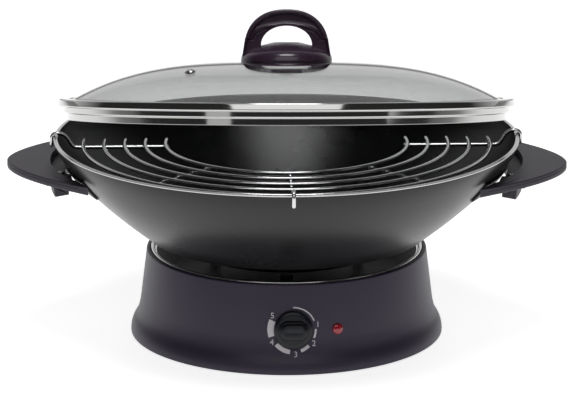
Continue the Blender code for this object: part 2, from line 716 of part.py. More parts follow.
def thermostat(at, housing):
    """The switch behind the knob: body, saddle bracket, shaft, and the sensor under the well."""
    wide, deep, tall = THERMOSTAT_WIDE, THERMOSTAT_DEEP, THERMOSTAT_TALL
    body = box("thermostat_body", (-wide / 2, THERMOSTAT_FACE, -tall / 2),
               (wide / 2, THERMOSTAT_FACE + deep, tall / 2), "beige_plastic", at)
    round_edges(body, GAP, 1)
    socket = cylinder("thermostat_socket", SHAFT_RADIUS + GAP, -THERMOSTAT_FACE - THERMOSTAT_SOCKET,
                      -THERMOSTAT_FACE + OVERRUN, None, at, turn=OUTWARD)
    cut(body, socket)
    wall_radius = radius_at(HOUSING_SIDE, KNOB_HEIGHT) - HOUSING_WALL
    sagitta = wall_radius - sqrt(wall_radius ** 2 - BRACKET_HALF ** 2)
    seat = HOUSING_WALL + sagitta + 2 * GAP
    back = THERMOSTAT_FACE - GAP - BRACKET_SHEET / 2
    route = [(-BRACKET_HALF, seat), (-BRACKET_HALF, back), (BRACKET_HALF, back),
             (BRACKET_HALF, seat)]
    bracket = strip("thermostat_bracket", [(x, -y) for x, y in route], BRACKET_TALL,
                    BRACKET_SHEET, "zinc", at, turn=OUTWARD)
    cut(bracket, cylinder("bracket_hole", SHAFT_RADIUS + GAP, -THERMOSTAT_FACE - OVERRUN,
                          -THERMOSTAT_FACE + OVERRUN, None, at, turn=OUTWARD))
    cylinder("control_shaft", SHAFT_RADIUS, -THERMOSTAT_FACE - THERMOSTAT_SOCKET + GAP,
             KNOB_STAND_OFF + SHAFT_SOCKET, "zinc", at, turn=OUTWARD)
    wall_hole(housing, at, "shaft_hole", SHAFT_RADIUS + GAP)


def sensor_tube(base):
    """A thin tube from the thermostat to a bulb held close under the well's floor."""
    radius = radius_at(HOUSING_SIDE, KNOB_HEIGHT)
    depth = THERMOSTAT_FACE + THERMOSTAT_DEEP + GAP
    reach = radius - depth * cos(WALL_LEAN)
    start = Vector((reach * sin(KNOB_BEARING), -reach * cos(KNOB_BEARING),
                    KNOB_HEIGHT - depth * sin(WALL_LEAN)))
    bulb_height = WELL_FLOOR_HEIGHT - GAP - BULB_RADIUS
    neck = Vector((0, -BULB_LENGTH / 2 - BULB_RADIUS * 2, bulb_height))
    route = []
    for share in spaced(0, 1, SENSOR_POINTS):
        ease = share * share * (3 - 2 * share)
        point = start.lerp(neck, share)
        point.z = between(start.z, neck.z, ease)
        route.append(tuple(point))
    widths = [1] * len(route)
    for along in (-1 / 2, 1 / 2):
        route.append((0, along * BULB_LENGTH, bulb_height))
        widths.append(BULB_RADIUS / SENSOR_RADIUS)
    wire("sensor_tube", route, SENSOR_RADIUS, "zinc", base, widths)


def lamp(at, housing):
    """A domed red lens through the wall, with the lamp behind it."""
    seat = GAP
    outline = [(LAMP_RADIUS * r, between(seat, seat + LAMP_RISE, z)) for r, z in LENS_SHARES]
    outline += [(LAMP_RADIUS, seat), (LAMP_STEM, seat), (LAMP_STEM, -LAMP_STEM_DEPTH),
                (0, -LAMP_STEM_DEPTH)]
    turned("lamp_lens", outline, "red_lens", at, SMALL_STEPS, turn=OUTWARD)
    front = -LAMP_STEM_DEPTH - GAP
    cylinder("lamp_body", LAMP_BODY_RADIUS, front - LAMP_BODY_LENGTH, front, "black_plastic", at,
             turn=OUTWARD)
    wall_hole(housing, at, "lamp_hole", LAMP_STEM + GAP)


def cord_inlet(at, housing, base):
    """The rear bush that the mains lead comes in by, and the block it ends in."""
    inner = -HOUSING_WALL - 2 * GAP
    outline = [(GLAND_BORE, GLAND_NOSE), (GLAND_NECK, GLAND_NOSE),
               (GLAND_FLANGE, GLAND_FLANGE_DEPTH + GLAND_SEAT), (GLAND_FLANGE, GLAND_SEAT),
               (GLAND_NECK, GLAND_SEAT), (GLAND_NECK, inner), (GLAND_FLANGE, inner),
               (GLAND_FLANGE, inner - GLAND_FLANGE_DEPTH),
               (GLAND_BORE, inner - GLAND_FLANGE_DEPTH)]
    turned("cord_gland", outline, "rubber", at, SMALL_STEPS, closed=True, turn=OUTWARD)
    wall_hole(housing, at, "gland_hole", GLAND_NECK + GAP)
    wide, deep, tall = TERMINAL_SIZE
    floor = COVER_HEIGHT + COVER_SHEET + GAP
    block = box("terminal_block", (-wide / 2, TERMINAL_PLACE - deep / 2, floor),
                (wide / 2, TERMINAL_PLACE + deep / 2, floor + tall), "beige_plastic", base)
    round_edges(block, GAP, 1)


# Wok

def bowl_outer(height):
    """Outer radius of the wok's wall at a height: full at the rim, falling as a power of depth."""
    depth_share = min(max((RIM_HEIGHT - height) / BOWL_DEPTH, 0), 1)
    return between(SHOULDER_RADIUS, RIM_RADIUS, 1 - depth_share ** BOWL_CURVE)


def bowl_outlines():
    """The wok's inner and outer sides, each running down from just under the rim."""
    outer = []
    for share in WALL_DEPTH_SHARES:
        height = RIM_HEIGHT - BOWL_DEPTH * share
        outer.append((bowl_outer(height), height))
    inner = []
    for i, (radius, height) in enumerate(outer):
        above = outer[max(i - 1, 0)]
        below = outer[min(i + 1, len(outer) - 1)]
        along = Vector((above[0] - below[0], above[1] - below[1])).normalized()
        inner.append((radius - along.y * BOWL_WALL, height + along.x * BOWL_WALL))
    return inner, outer


BOWL_INNER, BOWL_SIDE = bowl_outlines()
BOWL_FLOOR = SEAT_HEIGHT + FLOOR_SHEET


def wok_bowl(wok):
    """The wok itself: a curved wall with a rounded rim, a shoulder and a flat bottom."""
    inner = [(r, z) for r, z in BOWL_INNER if z > BOWL_FLOOR + BOWL_WALL]
    floor_edge = (SEAT_RADIUS + BOWL_WALL, BOWL_FLOOR)
    corner = (between(floor_edge[0], inner[-1][0], 2 / 3), between(BOWL_FLOOR, inner[-1][1], 1 / 4))
    rim = [(RIM_RADIUS - BOWL_WALL, RIM_HEIGHT - BOWL_WALL / 3),
           (RIM_RADIUS - BOWL_WALL * 3 / 4, RIM_HEIGHT), (RIM_RADIUS - BOWL_WALL / 4, RIM_HEIGHT),
           (RIM_RADIUS, RIM_HEIGHT - BOWL_WALL / 3)]
    tuck = (SHOULDER_RADIUS - BOWL_WALL / 3, BOWL_SIDE[-1][1] - BOWL_WALL / 3)
    outline = [(0, BOWL_FLOOR), floor_edge, corner] + list(reversed(inner)) + rim + BOWL_SIDE
    outline += [tuck, (SEAT_RADIUS, SEAT_HEIGHT), (0, SEAT_HEIGHT)]
    turned("wok_bowl", outline, "coated_bowl", wok)


def saddle_radius(height):
    return bowl_outer(height) + GAP


HANDLE_INNER = saddle_radius(HANDLE_TOP) + SADDLE_SHEET + GAP
HANDLE_UNDER = HANDLE_TOP - HANDLE_SHEET
RIDGE_RADIUS = HANDLE_INNER + RIDGE_PLACE
HANDLE_SCREW_RING_RADIUS = HANDLE_INNER + HANDLE_SCREW_PLACE
TAB_REACH = HANDLE_SCREW_RING_RADIUS + TAB_END
UNDER_WALL = HANDLE_INNER + UNDER_WIDTH
UNDER_REACH = UNDER_WALL + UNDER_LIP
POCKET_FLOOR = HANDLE_TOP - POCKET_DEPTH
TAB_TOP = HANDLE_UNDER - GAP
TAB_UNDER = TAB_TOP - TAB_SHEET


def handle_plate(name, wok, turn):
    """A wing: a pointed half-moon in plan, with a ridge and a pocket along the wok."""
    half = HANDLE_SPAN / 2
    root = sqrt(HANDLE_INNER ** 2 - half ** 2)
    nose = []
    for share in spaced(0, 1, HANDLE_NOSE_POINTS):
        nose.append((HANDLE_REACH - (HANDLE_REACH - root) * share ** 2,
                     half * share ** HANDLE_NOSE_POWER))
    end = asin(half / HANDLE_INNER)
    inner = [polar(HANDLE_INNER, a)[:2] for a in spaced(end, -end, HANDLE_NOSE_POINTS)][1:-1]
    outline = [(x, -y) for x, y in reversed(nose)] + nose[1:] + inner
    where = {"turn": (0, 0, turn)}
    wing = plate(name, outline, HANDLE_UNDER, HANDLE_TOP, "aubergine_plastic", wok, **where)
    round_edges(wing, HANDLE_EDGE)
    bearings = spaced(-POCKET_BEARING, POCKET_BEARING, HANDLE_NOSE_POINTS)
    ridge_foot = HANDLE_TOP - HANDLE_EDGE
    ridge_top = HANDLE_TOP + RIDGE_RISE
    ridge = [(RIDGE_RADIUS, ridge_foot), (RIDGE_RADIUS, ridge_top),
             (RIDGE_RADIUS + RIDGE_WIDTH / 3, ridge_top), (RIDGE_RADIUS + RIDGE_WIDTH, ridge_foot)]
    join(wing, sector(name + "_ridge", ridge, bearings, None, wok, **where))
    low = HANDLE_INNER - OVERRUN
    hollow = [(low, POCKET_FLOOR), (low, ridge_top + OVERRUN),
              (RIDGE_RADIUS, ridge_top + OVERRUN), (RIDGE_RADIUS, POCKET_FLOOR)]
    cut(wing, sector(name + "_pocket", hollow, bearings, None, wok, **where))
    return wing


def saddle(name, wok, turn):
    """The steel strap against the wok's wall, with two tabs under the handle."""
    where = {"turn": (0, 0, turn)}
    heights = spaced(SADDLE_TOP, SADDLE_BOTTOM, 3)
    inner = [(saddle_radius(z), z) for z in heights]
    outer = [(r + SADDLE_SHEET, z) for r, z in reversed(inner)]
    bearings = [SECTOR * i for i in range(-SADDLE_SECTORS, SADDLE_SECTORS + 1)]
    strap = sector(name, inner + outer, bearings, "black_steel", wok, **where)
    root = saddle_radius(TAB_TOP) + SADDLE_SHEET / 4
    for i, side in enumerate((-1, 1)):
        tab = box(f"{name}_tab_{i + 1}", (root, -TAB_WIDTH / 2, TAB_UNDER),
                  (TAB_REACH, TAB_WIDTH / 2, TAB_TOP), None, wok,
                  turn=(0, 0, turn + side * HANDLE_SCREW_BEARING))
        join(strap, tab)
    return strap


def handle_under(name, wok, turn):
    """The closed block below the plate that covers the tabs."""
    top = HANDLE_UNDER - GAP
    tab_side = TAB_UNDER - GAP
    foot = HANDLE_UNDER - UNDER_DROP
    step = HANDLE_UNDER - UNDER_STEP
    outline = [(HANDLE_INNER, tab_side), (HANDLE_INNER, foot + HANDLE_EDGE),
               (UNDER_WALL - HANDLE_EDGE, foot), (UNDER_WALL, step),
               (UNDER_REACH - UNDER_STEP, step), (UNDER_REACH, top), (UNDER_WALL, top),
               (UNDER_WALL, tab_side)]
    bearings = spaced(-UNDER_BEARING, UNDER_BEARING, UNDER_SECTIONS)
    sector(name, outline, bearings, "aubergine_plastic", wok, turn=(0, 0, turn))


def handles(wok):
    seat = POCKET_FLOOR + GAP
    head = seat + HANDLE_SCREW_HEAD_HEIGHT
    tip = TAB_UNDER + GAP
    outline = [(0, head), (HANDLE_SCREW_HEAD, head), (HANDLE_SCREW_HEAD, seat),
               (HANDLE_SCREW_RADIUS, seat), (HANDLE_SCREW_RADIUS, tip), (0, tip)]
    number = 1
    for side, turn in (("right", 0), ("left", pi)):
        wing = handle_plate(f"handle_{side}", wok, turn)
        strap = saddle(f"handle_bracket_{side}", wok, turn)
        handle_under(f"handle_under_{side}", wok, turn)
        for bearing in (-HANDLE_SCREW_BEARING, HANDLE_SCREW_BEARING):
            place = polar(HANDLE_SCREW_RING_RADIUS, turn + bearing)
            turned(f"handle_screw_{number}", outline, "zinc", wok, SCREW_STEPS, place=place)
            hole = cylinder(f"screw_hole_{number}", HANDLE_SCREW_RADIUS + GAP,
                            TAB_UNDER - OVERRUN, seat + OVERRUN, None, wok, SCREW_STEPS,
                            place=place)
            cut(wing, hole)
            cut(strap, hole)
            number += 1


# Rack

ARC_HEIGHT = RIM_HEIGHT - RACK_DROP
RAIL_HEIGHT = ARC_HEIGHT - 2 * WIRE_RADIUS - GAP
ARC_RADII = [RACK_OUTER - RACK_PITCH * i for i in range(RACK_ARCS)]


def hook_route(start):
    """A wire that runs out level, climbs over the rim and hangs down outside, as (reach, up)."""
    leg = RIM_RADIUS + WIRE_RADIUS + GAP
    crest = RIM_HEIGHT + HOOK_CREST
    route = [(start, RAIL_HEIGHT)]
    for reach, rise in HOOK_SHARES:
        route.append((between(HOOK_START, leg, reach), between(RAIL_HEIGHT, crest, rise)))
    route += [(leg, RIM_HEIGHT - WIRE_RADIUS), (leg, RIM_HEIGHT - HOOK_DROP)]
    return route


def rack_wires(rack):
    """Five arcs on two rails, two cross wires and a front wire that all lie under them."""
    for i, radius in enumerate(ARC_RADII):
        tail = asin((RAIL_PLACE + ARC_TAIL) / radius)
        route = [polar(radius, a, ARC_HEIGHT) for a in spaced(-pi - tail, tail, ARC_POINTS)]
        wire(f"rack_arc_{i + 1}", route, WIRE_RADIUS, "chrome", rack)
    inner = ARC_RADII[-1] - RAIL_OVERHANG
    for name, way in (("rack_rail_left", -1), ("rack_rail_right", 1)):
        route = [(way * x, RAIL_PLACE, z) for x, z in hook_route(inner)]
        wire(name, route, WIRE_RADIUS, "chrome", rack)
    for name, bearing in (("rack_cross_left", -pi + CROSS_BEARING),
                          ("rack_cross_right", -CROSS_BEARING)):
        route = [polar(r, bearing, RAIL_HEIGHT) for r in (inner, RACK_OUTER + RAIL_OVERHANG)]
        wire(name, route, WIRE_RADIUS, "chrome", rack)
    front = [(0, -x, z) for x, z in hook_route(inner)]
    wire("rack_front_hook", front, WIRE_RADIUS, "chrome", rack)


# Lid

def lid_contact():
    """How far to the rear the lid sits: its rear edge just clears the wok's inner wall."""
    inner = BOWL_INNER
    shrink = cos(SECTOR / 2)
    best = None
    height = RIM_HEIGHT + LID_RISE
    for i in range(ROUND_STEPS):
        x, y, _ = polar(LID_RADIUS, 2 * pi * i / ROUND_STEPS)
        edge_y = y * cos(LID_TILT)
        edge_z = height - y * sin(LID_TILT)
        if edge_z < RIM_HEIGHT:
            wall = radius_at(inner, edge_z) * shrink - GAP
            room = sqrt(wall ** 2 - x ** 2) - edge_y
            best = room if best is None else min(best, room)
    return (0, best, height)


def dome_height(radius):
    """Top of the glass above the flange's underside: flat in the middle, steep at the edge."""
    edge = RING_SHEET + GLASS_SHEET
    return edge + DOME_RISE * (1 - (radius / GLASS_RADIUS) ** DOME_POWER)


DOME_TOP = RING_SHEET + GLASS_SHEET + DOME_RISE


def lid_ring(lid):
    """The rolled steel band round the glass, with a leaning skirt that dips into the wok."""
    channel_top = RING_SHEET + GLASS_SHEET + GAP
    channel_wall = LID_RADIUS - RING_SHEET * 5 / 2
    channel_low = RING_SHEET - GAP
    lip = LID_SKIRT_RADIUS - RING_SHEET
    outline = [(CHANNEL_INNER, FLANGE_HEIGHT), (LID_RADIUS - RING_SHEET, FLANGE_HEIGHT),
               (LID_RADIUS, FLANGE_HEIGHT - RING_SHEET), (LID_RADIUS, RING_SHEET),
               (LID_RADIUS - RING_SHEET, 0), (SKIRT_TOP_RADIUS, 0),
               (LID_SKIRT_RADIUS, -LID_SKIRT_DROP), (lip, -LID_SKIRT_DROP),
               (SKIRT_TOP_RADIUS - RING_SHEET, -RING_SHEET),
               (CHANNEL_INNER + RING_SHEET, -RING_SHEET), (CHANNEL_INNER + RING_SHEET, channel_low),
               (channel_wall, channel_low), (channel_wall, channel_top),
               (CHANNEL_INNER, channel_top)]
    turned("lid_ring", outline, "polished_steel", lid, closed=True)
    return channel_wall


def lid_glass(lid, edge):
    """The tempered dome, with a hole in its middle for the knob's screw and one for the vent."""
    outline = [(GLASS_HOLE, DOME_TOP)]
    outline += [(GLASS_RADIUS * share, dome_height(GLASS_RADIUS * share)) for share in DOME_SHARES]
    outline.append((edge - GAP, dome_height(GLASS_RADIUS)))
    return turned("lid_glass", outline, "glass", lid, wall=GLASS_SHEET)


def vent_eyelet(lid, glass):
    """A flanged steel eyelet, square to the glass, that lets steam out."""
    x, y = VENT_PLACE
    radius = hypot(x, y)
    slope = DOME_RISE * DOME_POWER / GLASS_RADIUS * (radius / GLASS_RADIUS) ** (DOME_POWER - 1)
    square = Vector((x * slope / radius, y * slope / radius, 1)).normalized()
    turn = Vector((0, 0, 1)).rotation_difference(square).to_euler()
    where = {"place": (x, y, dome_height(radius)), "turn": turn}
    under = -GLASS_SHEET - 2 * GAP
    outline = [(VENT_BORE, GAP + VENT_FLANGE), (VENT_RADIUS - VENT_FLANGE, GAP + VENT_FLANGE),
               (VENT_RADIUS, GAP), (VENT_BARREL, GAP), (VENT_BARREL, under), (VENT_RADIUS, under),
               (VENT_RADIUS - VENT_FLANGE, under - VENT_FLANGE), (VENT_BORE, under - VENT_FLANGE)]
    turned("vent_eyelet", outline, "polished_steel", lid, SMALL_STEPS, closed=True, **where)
    hole = cylinder("vent_hole", VENT_BARREL + GAP, -GLASS_SHEET - OVERRUN, OVERRUN, None, lid,
                    **where)
    cut(glass, hole)


def bulge(half, rise, power, share):
    """A point of a quarter of a superellipse, from its side (0) to its top (1)."""
    angle = share * pi / 2
    return half * cos(angle) ** (2 / power), rise * sin(angle) ** (2 / power)


def arch_side(half, top, low):
    """The right side of the arch, from a low end up to its top, as (x, height)."""
    rise = top - ARCH_CENTRE
    height_share = min((low - ARCH_CENTRE) / rise, 1)
    start = asin(height_share ** (ARCH_POWER / 2)) / (pi / 2)
    points = [bulge(half, rise, ARCH_POWER, share) for share in spaced(start, 1, ARCH_POINTS)]
    return [(x, z + ARCH_CENTRE) for x, z in points]


def both_sides(right):
    """A whole outline from its right side, which ends at the middle."""
    return right + [(-x, z) for x, z in reversed(right[:-1])]


def lid_knob(lid):
    """A round foot that carries a hand-wide arch, with a separate crest laid over the arch."""
    seat = DOME_TOP + GAP
    where = {"place": (0, 0, seat)}
    outline = [(GRIP_BASE_RADIUS * r, GRIP_BASE_HEIGHT * z) for r, z in GRIP_BASE_SHARES]
    knob = turned("lid_knob", outline, "knob_plastic", lid, KNOB_STEPS, **where)
    step = ARCH_SHOULDER + GAP
    under = arch_side(ARCH_HALF - CREST_SHEET - GAP, ARCH_HEIGHT - CREST_SHEET - GAP, step)
    shoulder = between(ARCH_HALF, ARCH_FOOT_HALF, 1 / 4) - GAP * 4
    side = [(ARCH_FOOT_HALF, ARCH_FOOT_HEIGHT), (shoulder, ARCH_SHOULDER),
            (under[0][0], ARCH_SHOULDER)]
    arch = plate("arch", both_sides(side + under), -ARCH_DEPTH / 2, ARCH_DEPTH / 2, None, lid,
                 "upright", **where)
    round_edges(arch, ARCH_EDGE)
    spring = OPENING_TOP - OPENING_SPRING
    window = [bulge(OPENING_HALF, spring, OPENING_POWER, share)
              for share in spaced(0, 1, ARCH_POINTS)]
    window = [(OPENING_HALF, ARCH_FOOT_HEIGHT)] + [(x, z + OPENING_SPRING) for x, z in window]
    reach = ARCH_DEPTH / 2 + OVERRUN
    cut(arch, plate("arch_opening", both_sides(window), -reach, reach, None, lid, "upright",
                    **where))
    join(knob, arch)
    bore = cylinder("knob_bore", LID_SCREW_BORE, -OVERRUN, LID_SCREW_DEPTH, None, lid,
                    SCREW_STEPS, **where)
    cut(knob, bore)
    outer = arch_side(ARCH_HALF, ARCH_HEIGHT, step)
    inner = arch_side(ARCH_HALF - CREST_SHEET, ARCH_HEIGHT - CREST_SHEET, step)
    band = both_sides(outer) + list(reversed(both_sides(inner)))
    crest = plate("knob_cover", band, -CREST_DEPTH / 2, CREST_DEPTH / 2, "knob_plastic", lid,
                  "upright", **where)
    round_edges(crest, ARCH_EDGE / 2, angle=radians(60))


def lid_fastening(lid):
    """The washer under the glass and the screw that pulls the knob down onto it."""
    glass_under = DOME_TOP - GLASS_SHEET
    top = glass_under - GAP
    under = top - WASHER_SHEET
    bore = LID_SCREW_RADIUS + GAP
    washer = [(bore, top), (WASHER_RADIUS, top), (WASHER_RADIUS, under), (bore, under)]
    turned("knob_washer", washer, "rubber", lid, SMALL_STEPS, closed=True)
    seat = under - GAP
    head = seat - LID_SCREW_HEAD_HEIGHT
    tip = DOME_TOP + LID_SCREW_DEPTH
    outline = [(0, tip), (LID_SCREW_RADIUS, tip), (LID_SCREW_RADIUS, seat),
               (LID_SCREW_HEAD, seat), (LID_SCREW_HEAD, head), (0, head)]
    turned("knob_screw", outline, "polished_steel", lid, SCREW_STEPS)


def main():
    base = frame("base")
    housing = base_housing(base)
    bottom_cover(base)
    cover_screws_and_feet(base)
    well_liner(base)
    trim_ring(base)
    heating_element(base)
    knob_axis = on_wall("knob_axis", KNOB_BEARING, KNOB_HEIGHT, base)
    thermostat(knob_axis, housing)
    control_knob(knob_axis)
    sensor_tube(base)
    lamp(on_wall("lamp_axis", LAMP_BEARING, LAMP_HEIGHT, base), housing)
    cord_inlet(on_wall("gland_axis", pi, GLAND_HEIGHT, base), housing, base)
    wok = frame("wok", turn=(0, 0, WOK_TURN))
    wok_bowl(wok)
    handles(wok)
    rack_wires(frame("rack", turn=(0, 0, RACK_TURN)))
    lid = frame("lid", place=lid_contact(), turn=(-LID_TILT, 0, 0))
    glass = lid_glass(lid, lid_ring(lid))
    vent_eyelet(lid, glass)
    lid_knob(lid)
    lid_fastening(lid)


main()
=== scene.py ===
# %% [markdown]
# # An electric wok, dressed for its picture
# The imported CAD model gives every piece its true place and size. This notebook keeps that
# model as a frame and puts finely curved surfaces and real finishes on it. All lengths below
# are written in millimetres and turned into metres when a mesh is made.

# %% Load the frame
import bpy
import bmesh
import numpy as np
from math import radians
from mathutils import Euler, Matrix, Vector


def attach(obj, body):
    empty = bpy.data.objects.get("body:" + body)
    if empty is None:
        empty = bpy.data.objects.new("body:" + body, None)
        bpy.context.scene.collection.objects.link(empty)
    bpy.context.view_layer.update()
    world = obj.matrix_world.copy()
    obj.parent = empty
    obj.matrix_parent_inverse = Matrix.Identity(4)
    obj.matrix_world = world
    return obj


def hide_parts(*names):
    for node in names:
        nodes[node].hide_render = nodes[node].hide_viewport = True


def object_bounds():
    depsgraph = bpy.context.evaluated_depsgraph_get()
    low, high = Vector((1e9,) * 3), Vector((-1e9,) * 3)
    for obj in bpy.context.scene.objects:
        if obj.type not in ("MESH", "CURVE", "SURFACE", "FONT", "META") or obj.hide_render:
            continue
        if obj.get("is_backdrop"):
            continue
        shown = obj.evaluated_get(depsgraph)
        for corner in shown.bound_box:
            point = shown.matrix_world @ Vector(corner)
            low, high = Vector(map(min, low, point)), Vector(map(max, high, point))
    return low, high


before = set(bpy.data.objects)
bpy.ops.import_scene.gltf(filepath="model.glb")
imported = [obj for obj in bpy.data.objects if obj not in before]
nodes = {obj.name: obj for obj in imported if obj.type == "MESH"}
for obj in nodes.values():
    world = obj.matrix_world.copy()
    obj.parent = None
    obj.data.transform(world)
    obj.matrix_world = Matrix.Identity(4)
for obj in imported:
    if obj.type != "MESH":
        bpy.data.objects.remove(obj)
cad_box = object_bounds()
MM = 0.001

# %% [markdown]
# ## Shapes as arrays
# A shape here is a grid of points: rows along a profile, columns along a path or round an
# axis, worked out as one array. The same few functions serve bowl, wires and handles.

# %% Profiles with rounded corners
def rounded(corners, radius, steps=6, closed=False):
    """Round the corners of a path.

    A corner P becomes the curve (1-t)^2 A + 2t(1-t) P + t^2 B, where A and B lie on its two
    legs, as far from P as the radius but never past the middle of a leg.
    """
    corners = np.asarray(corners, float)
    reach = np.broadcast_to(np.asarray(radius, float), len(corners))[:, None]

    def leg(other):
        along = other - corners
        length = np.linalg.norm(along, axis=1, keepdims=True)
        return corners + along / np.maximum(length, 1e-9) * np.minimum(reach, length / 2)

    start = leg(np.roll(corners, 1, 0))[:, None]
    end = leg(np.roll(corners, -1, 0))[:, None]
    t = np.linspace(0, 1, steps)[None, :, None]
    curve = (1 - t) ** 2 * start + 2 * t * (1 - t) * corners[:, None] + t ** 2 * end
    if closed:
        return curve.reshape(-1, corners.shape[1])
    middle = curve[1:-1].reshape(-1, corners.shape[1])
    return np.vstack([corners[:1], middle, corners[-1:]])


def smooth_step(value):
    """0 below 0, 1 above 1, and 3v^2 - 2v^3 between."""
    value = np.clip(value, 0, 1)
    return value * value * (3 - 2 * value)


# %% Surfaces from profiles and paths
def turned(profile, steps=160):
    """A profile (radius, height) turned about Z: x = r cos a, y = r sin a, z = z."""
    bearing = np.linspace(0, 2 * np.pi, steps, endpoint=False)
    radius, height = np.asarray(profile, float).T[:, :, None]
    return np.stack([radius * np.cos(bearing), radius * np.sin(bearing),
                     height + 0 * bearing], -1)


def sector(profile, bearings):
    """A closed profile (radius, height) carried round Z through the bearings, row by row."""
    radius, height = np.asarray(profile, float).T[:, None, :]
    bearings = np.asarray(bearings)[:, None]
    return np.stack([radius * np.cos(bearings), radius * np.sin(bearings),
                     height + 0 * bearings], -1)


def tube(path, radius, side, sides=14, cap=4):
    """A round wire: each point of the path plus r (side cos a + up sin a).

    Side is square to the path, up is tangent x side, and domes close both ends, where the
    ring shrinks as cos b while its middle moves on by r sin b.
    """
    path = np.asarray(path, float)
    tangent = np.gradient(path, axis=0)
    tangent /= np.linalg.norm(tangent, axis=1, keepdims=True)
    side = np.broadcast_to(np.asarray(side, float), path.shape)
    bend = np.linspace(0, np.pi / 2, cap + 1)[1:, None]
    head = path[0] - tangent[0] * radius * np.sin(bend[::-1])
    tail = path[-1] + tangent[-1] * radius * np.sin(bend)
    last = len(path) - 1
    rows = np.r_[np.zeros(cap, int), np.arange(len(path)), np.full(cap, last)]
    scale = np.concatenate([np.cos(bend[::-1, 0]), np.ones(len(path)), np.cos(bend[:, 0])])
    middle = np.vstack([head, path, tail])[:, None]
    side, up = side[rows][:, None], np.cross(tangent, side)[rows][:, None]
    around = np.linspace(0, 2 * np.pi, sides, endpoint=False)[None, :, None]
    ring = side * np.cos(around) + up * np.sin(around)
    return middle + radius * scale[:, None, None] * ring


# %% Frames: where a tilted or turned piece stands
def place(points, frame_matrix):
    """Points (in mm) moved by a frame: R p + t, for a whole array at once."""
    turn = np.array(frame_matrix.to_3x3())
    return points @ turn.T + np.array(frame_matrix.translation)


def turned_frame(degrees, axis="Z", at=(0, 0, 0)):
    return Matrix.Translation(at) @ Matrix.Rotation(radians(degrees), 4, axis)


OUTWARD = Matrix.Rotation(radians(90), 4, "X")      # lays a turned piece's Z along -Y


WALL_LEAN = 7.19  # of the base's wall, in degrees


def wall_frame(bearing, radius, height):
    """A frame on the leaning wall of the base, with its -Y square to the wall."""
    angle = radians(bearing)
    at = (radius * np.sin(angle), -radius * np.cos(angle), height)
    return Matrix.Translation(at) @ Euler((-radians(WALL_LEAN), 0, angle)).to_matrix().to_4x4()


WOK_TURN, RACK_TURN, LID_LEAN = -1.2, 1.7, 12.2  # degrees
KNOB_BEARING, LAMP_BEARING, KNOB_HEIGHT = 2.6, 19.8, 34     # degrees, degrees, mm
WOK = turned_frame(WOK_TURN)
RACK = turned_frame(RACK_TURN)
LID = turned_frame(-LID_LEAN, "X", (0, -3.176, 180.4))
KNOB_AXIS = wall_frame(KNOB_BEARING, 113.34, KNOB_HEIGHT)
LAMP_AXIS = wall_frame(LAMP_BEARING, 113.48, 32.9)
GLAND_AXIS = wall_frame(180, 113.84, 30)
print("the lid leans by", LID_LEAN, "degrees, its rim is at",
      [round(v, 1) for v in LID.translation])

# %% [markdown]
# ## From grid to piece
# A grid becomes quads between neighbouring rows and columns. Points that fall together are
# merged, and normals are worked out again so that every face looks outwards. Edges sharper
# than a given angle stay sharp.

# %% Make a piece
def quads(rows, columns, close_rows, close_columns):
    """Faces between neighbours (i, j), (i, j+1), (i+1, j+1), (i+1, j) of a grid."""
    i = np.arange(rows if close_rows else rows - 1)
    j = np.arange(columns if close_columns else columns - 1)
    i, j = np.meshgrid(i, j, indexing="ij")
    k, m = (i + 1) % rows, (j + 1) % columns
    return np.stack([i * columns + j, i * columns + m, k * columns + m, k * columns + j],
                    -1).reshape(-1, 4)


def soften(mesh, sharp):
    mesh.shade_smooth()
    mesh.set_sharp_from_angle(angle=radians(sharp))


def mesh_from(name, grids, sharp=35):
    """One mesh from grids. Each is (points, close_rows, close_columns, cap the end rows)."""
    points, faces, start = [], [], 0
    for grid, close_rows, close_columns, cap in grids:
        rows, columns = grid.shape[:2]
        points.append(grid.reshape(-1, 3))
        faces += (quads(rows, columns, close_rows, close_columns) + start).tolist()
        if cap:
            faces.append((np.arange(columns) + start).tolist())
            faces.append((np.arange(columns) + start + (rows - 1) * columns).tolist())
        start += rows * columns
    mesh = bpy.data.meshes.new(name)
    mesh.from_pydata((np.vstack(points) * MM).tolist(), [], faces)
    bm = bmesh.new()
    bm.from_mesh(mesh)
    bmesh.ops.remove_doubles(bm, verts=bm.verts, dist=2e-6)
    bmesh.ops.dissolve_degenerate(bm, edges=bm.edges, dist=1e-6)
    bmesh.ops.recalc_face_normals(bm, faces=bm.faces)
    bm.to_mesh(mesh)
    bm.free()
    soften(mesh, sharp)
    return mesh


def add_piece(name, shape, body, finish, replaces=(), sharp=35):
    """An object at the origin, from a mesh or from grids, that rides on a body and stands for
    CAD nodes."""
    mesh = mesh_from(name, shape, sharp) if isinstance(shape, list) else shape
    piece = bpy.data.objects.new(name, mesh)
    bpy.context.scene.collection.objects.link(piece)
    mesh.materials.append(finish)
    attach(piece, body)
    if replaces:
        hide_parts(*replaces)
    triangles = sum(len(face.vertices) - 2 for face in mesh.polygons)
    print(f"{name}: {triangles} triangles, stands for {', '.join(replaces) or 'no node'}")
    return piece


def disc_grid(profile, steps=160, matrix=None, ring=False):
    """An open profile from axis to axis turned into a solid."""
    grid = turned(profile, steps)
    return (place(grid, matrix) if matrix else grid), ring, True, False


def ring_grid(profile, steps=160, matrix=None):
    """A closed profile turned into a ring."""
    return disc_grid(profile, steps, matrix, ring=True)


def tube_grid(grid):
    """A grid whose columns close, and whose end rows have shrunk to points."""
    return grid, False, True, False


def capped(grid):
    """A grid whose columns close, with a flat face on each end row."""
    return grid, False, True, True


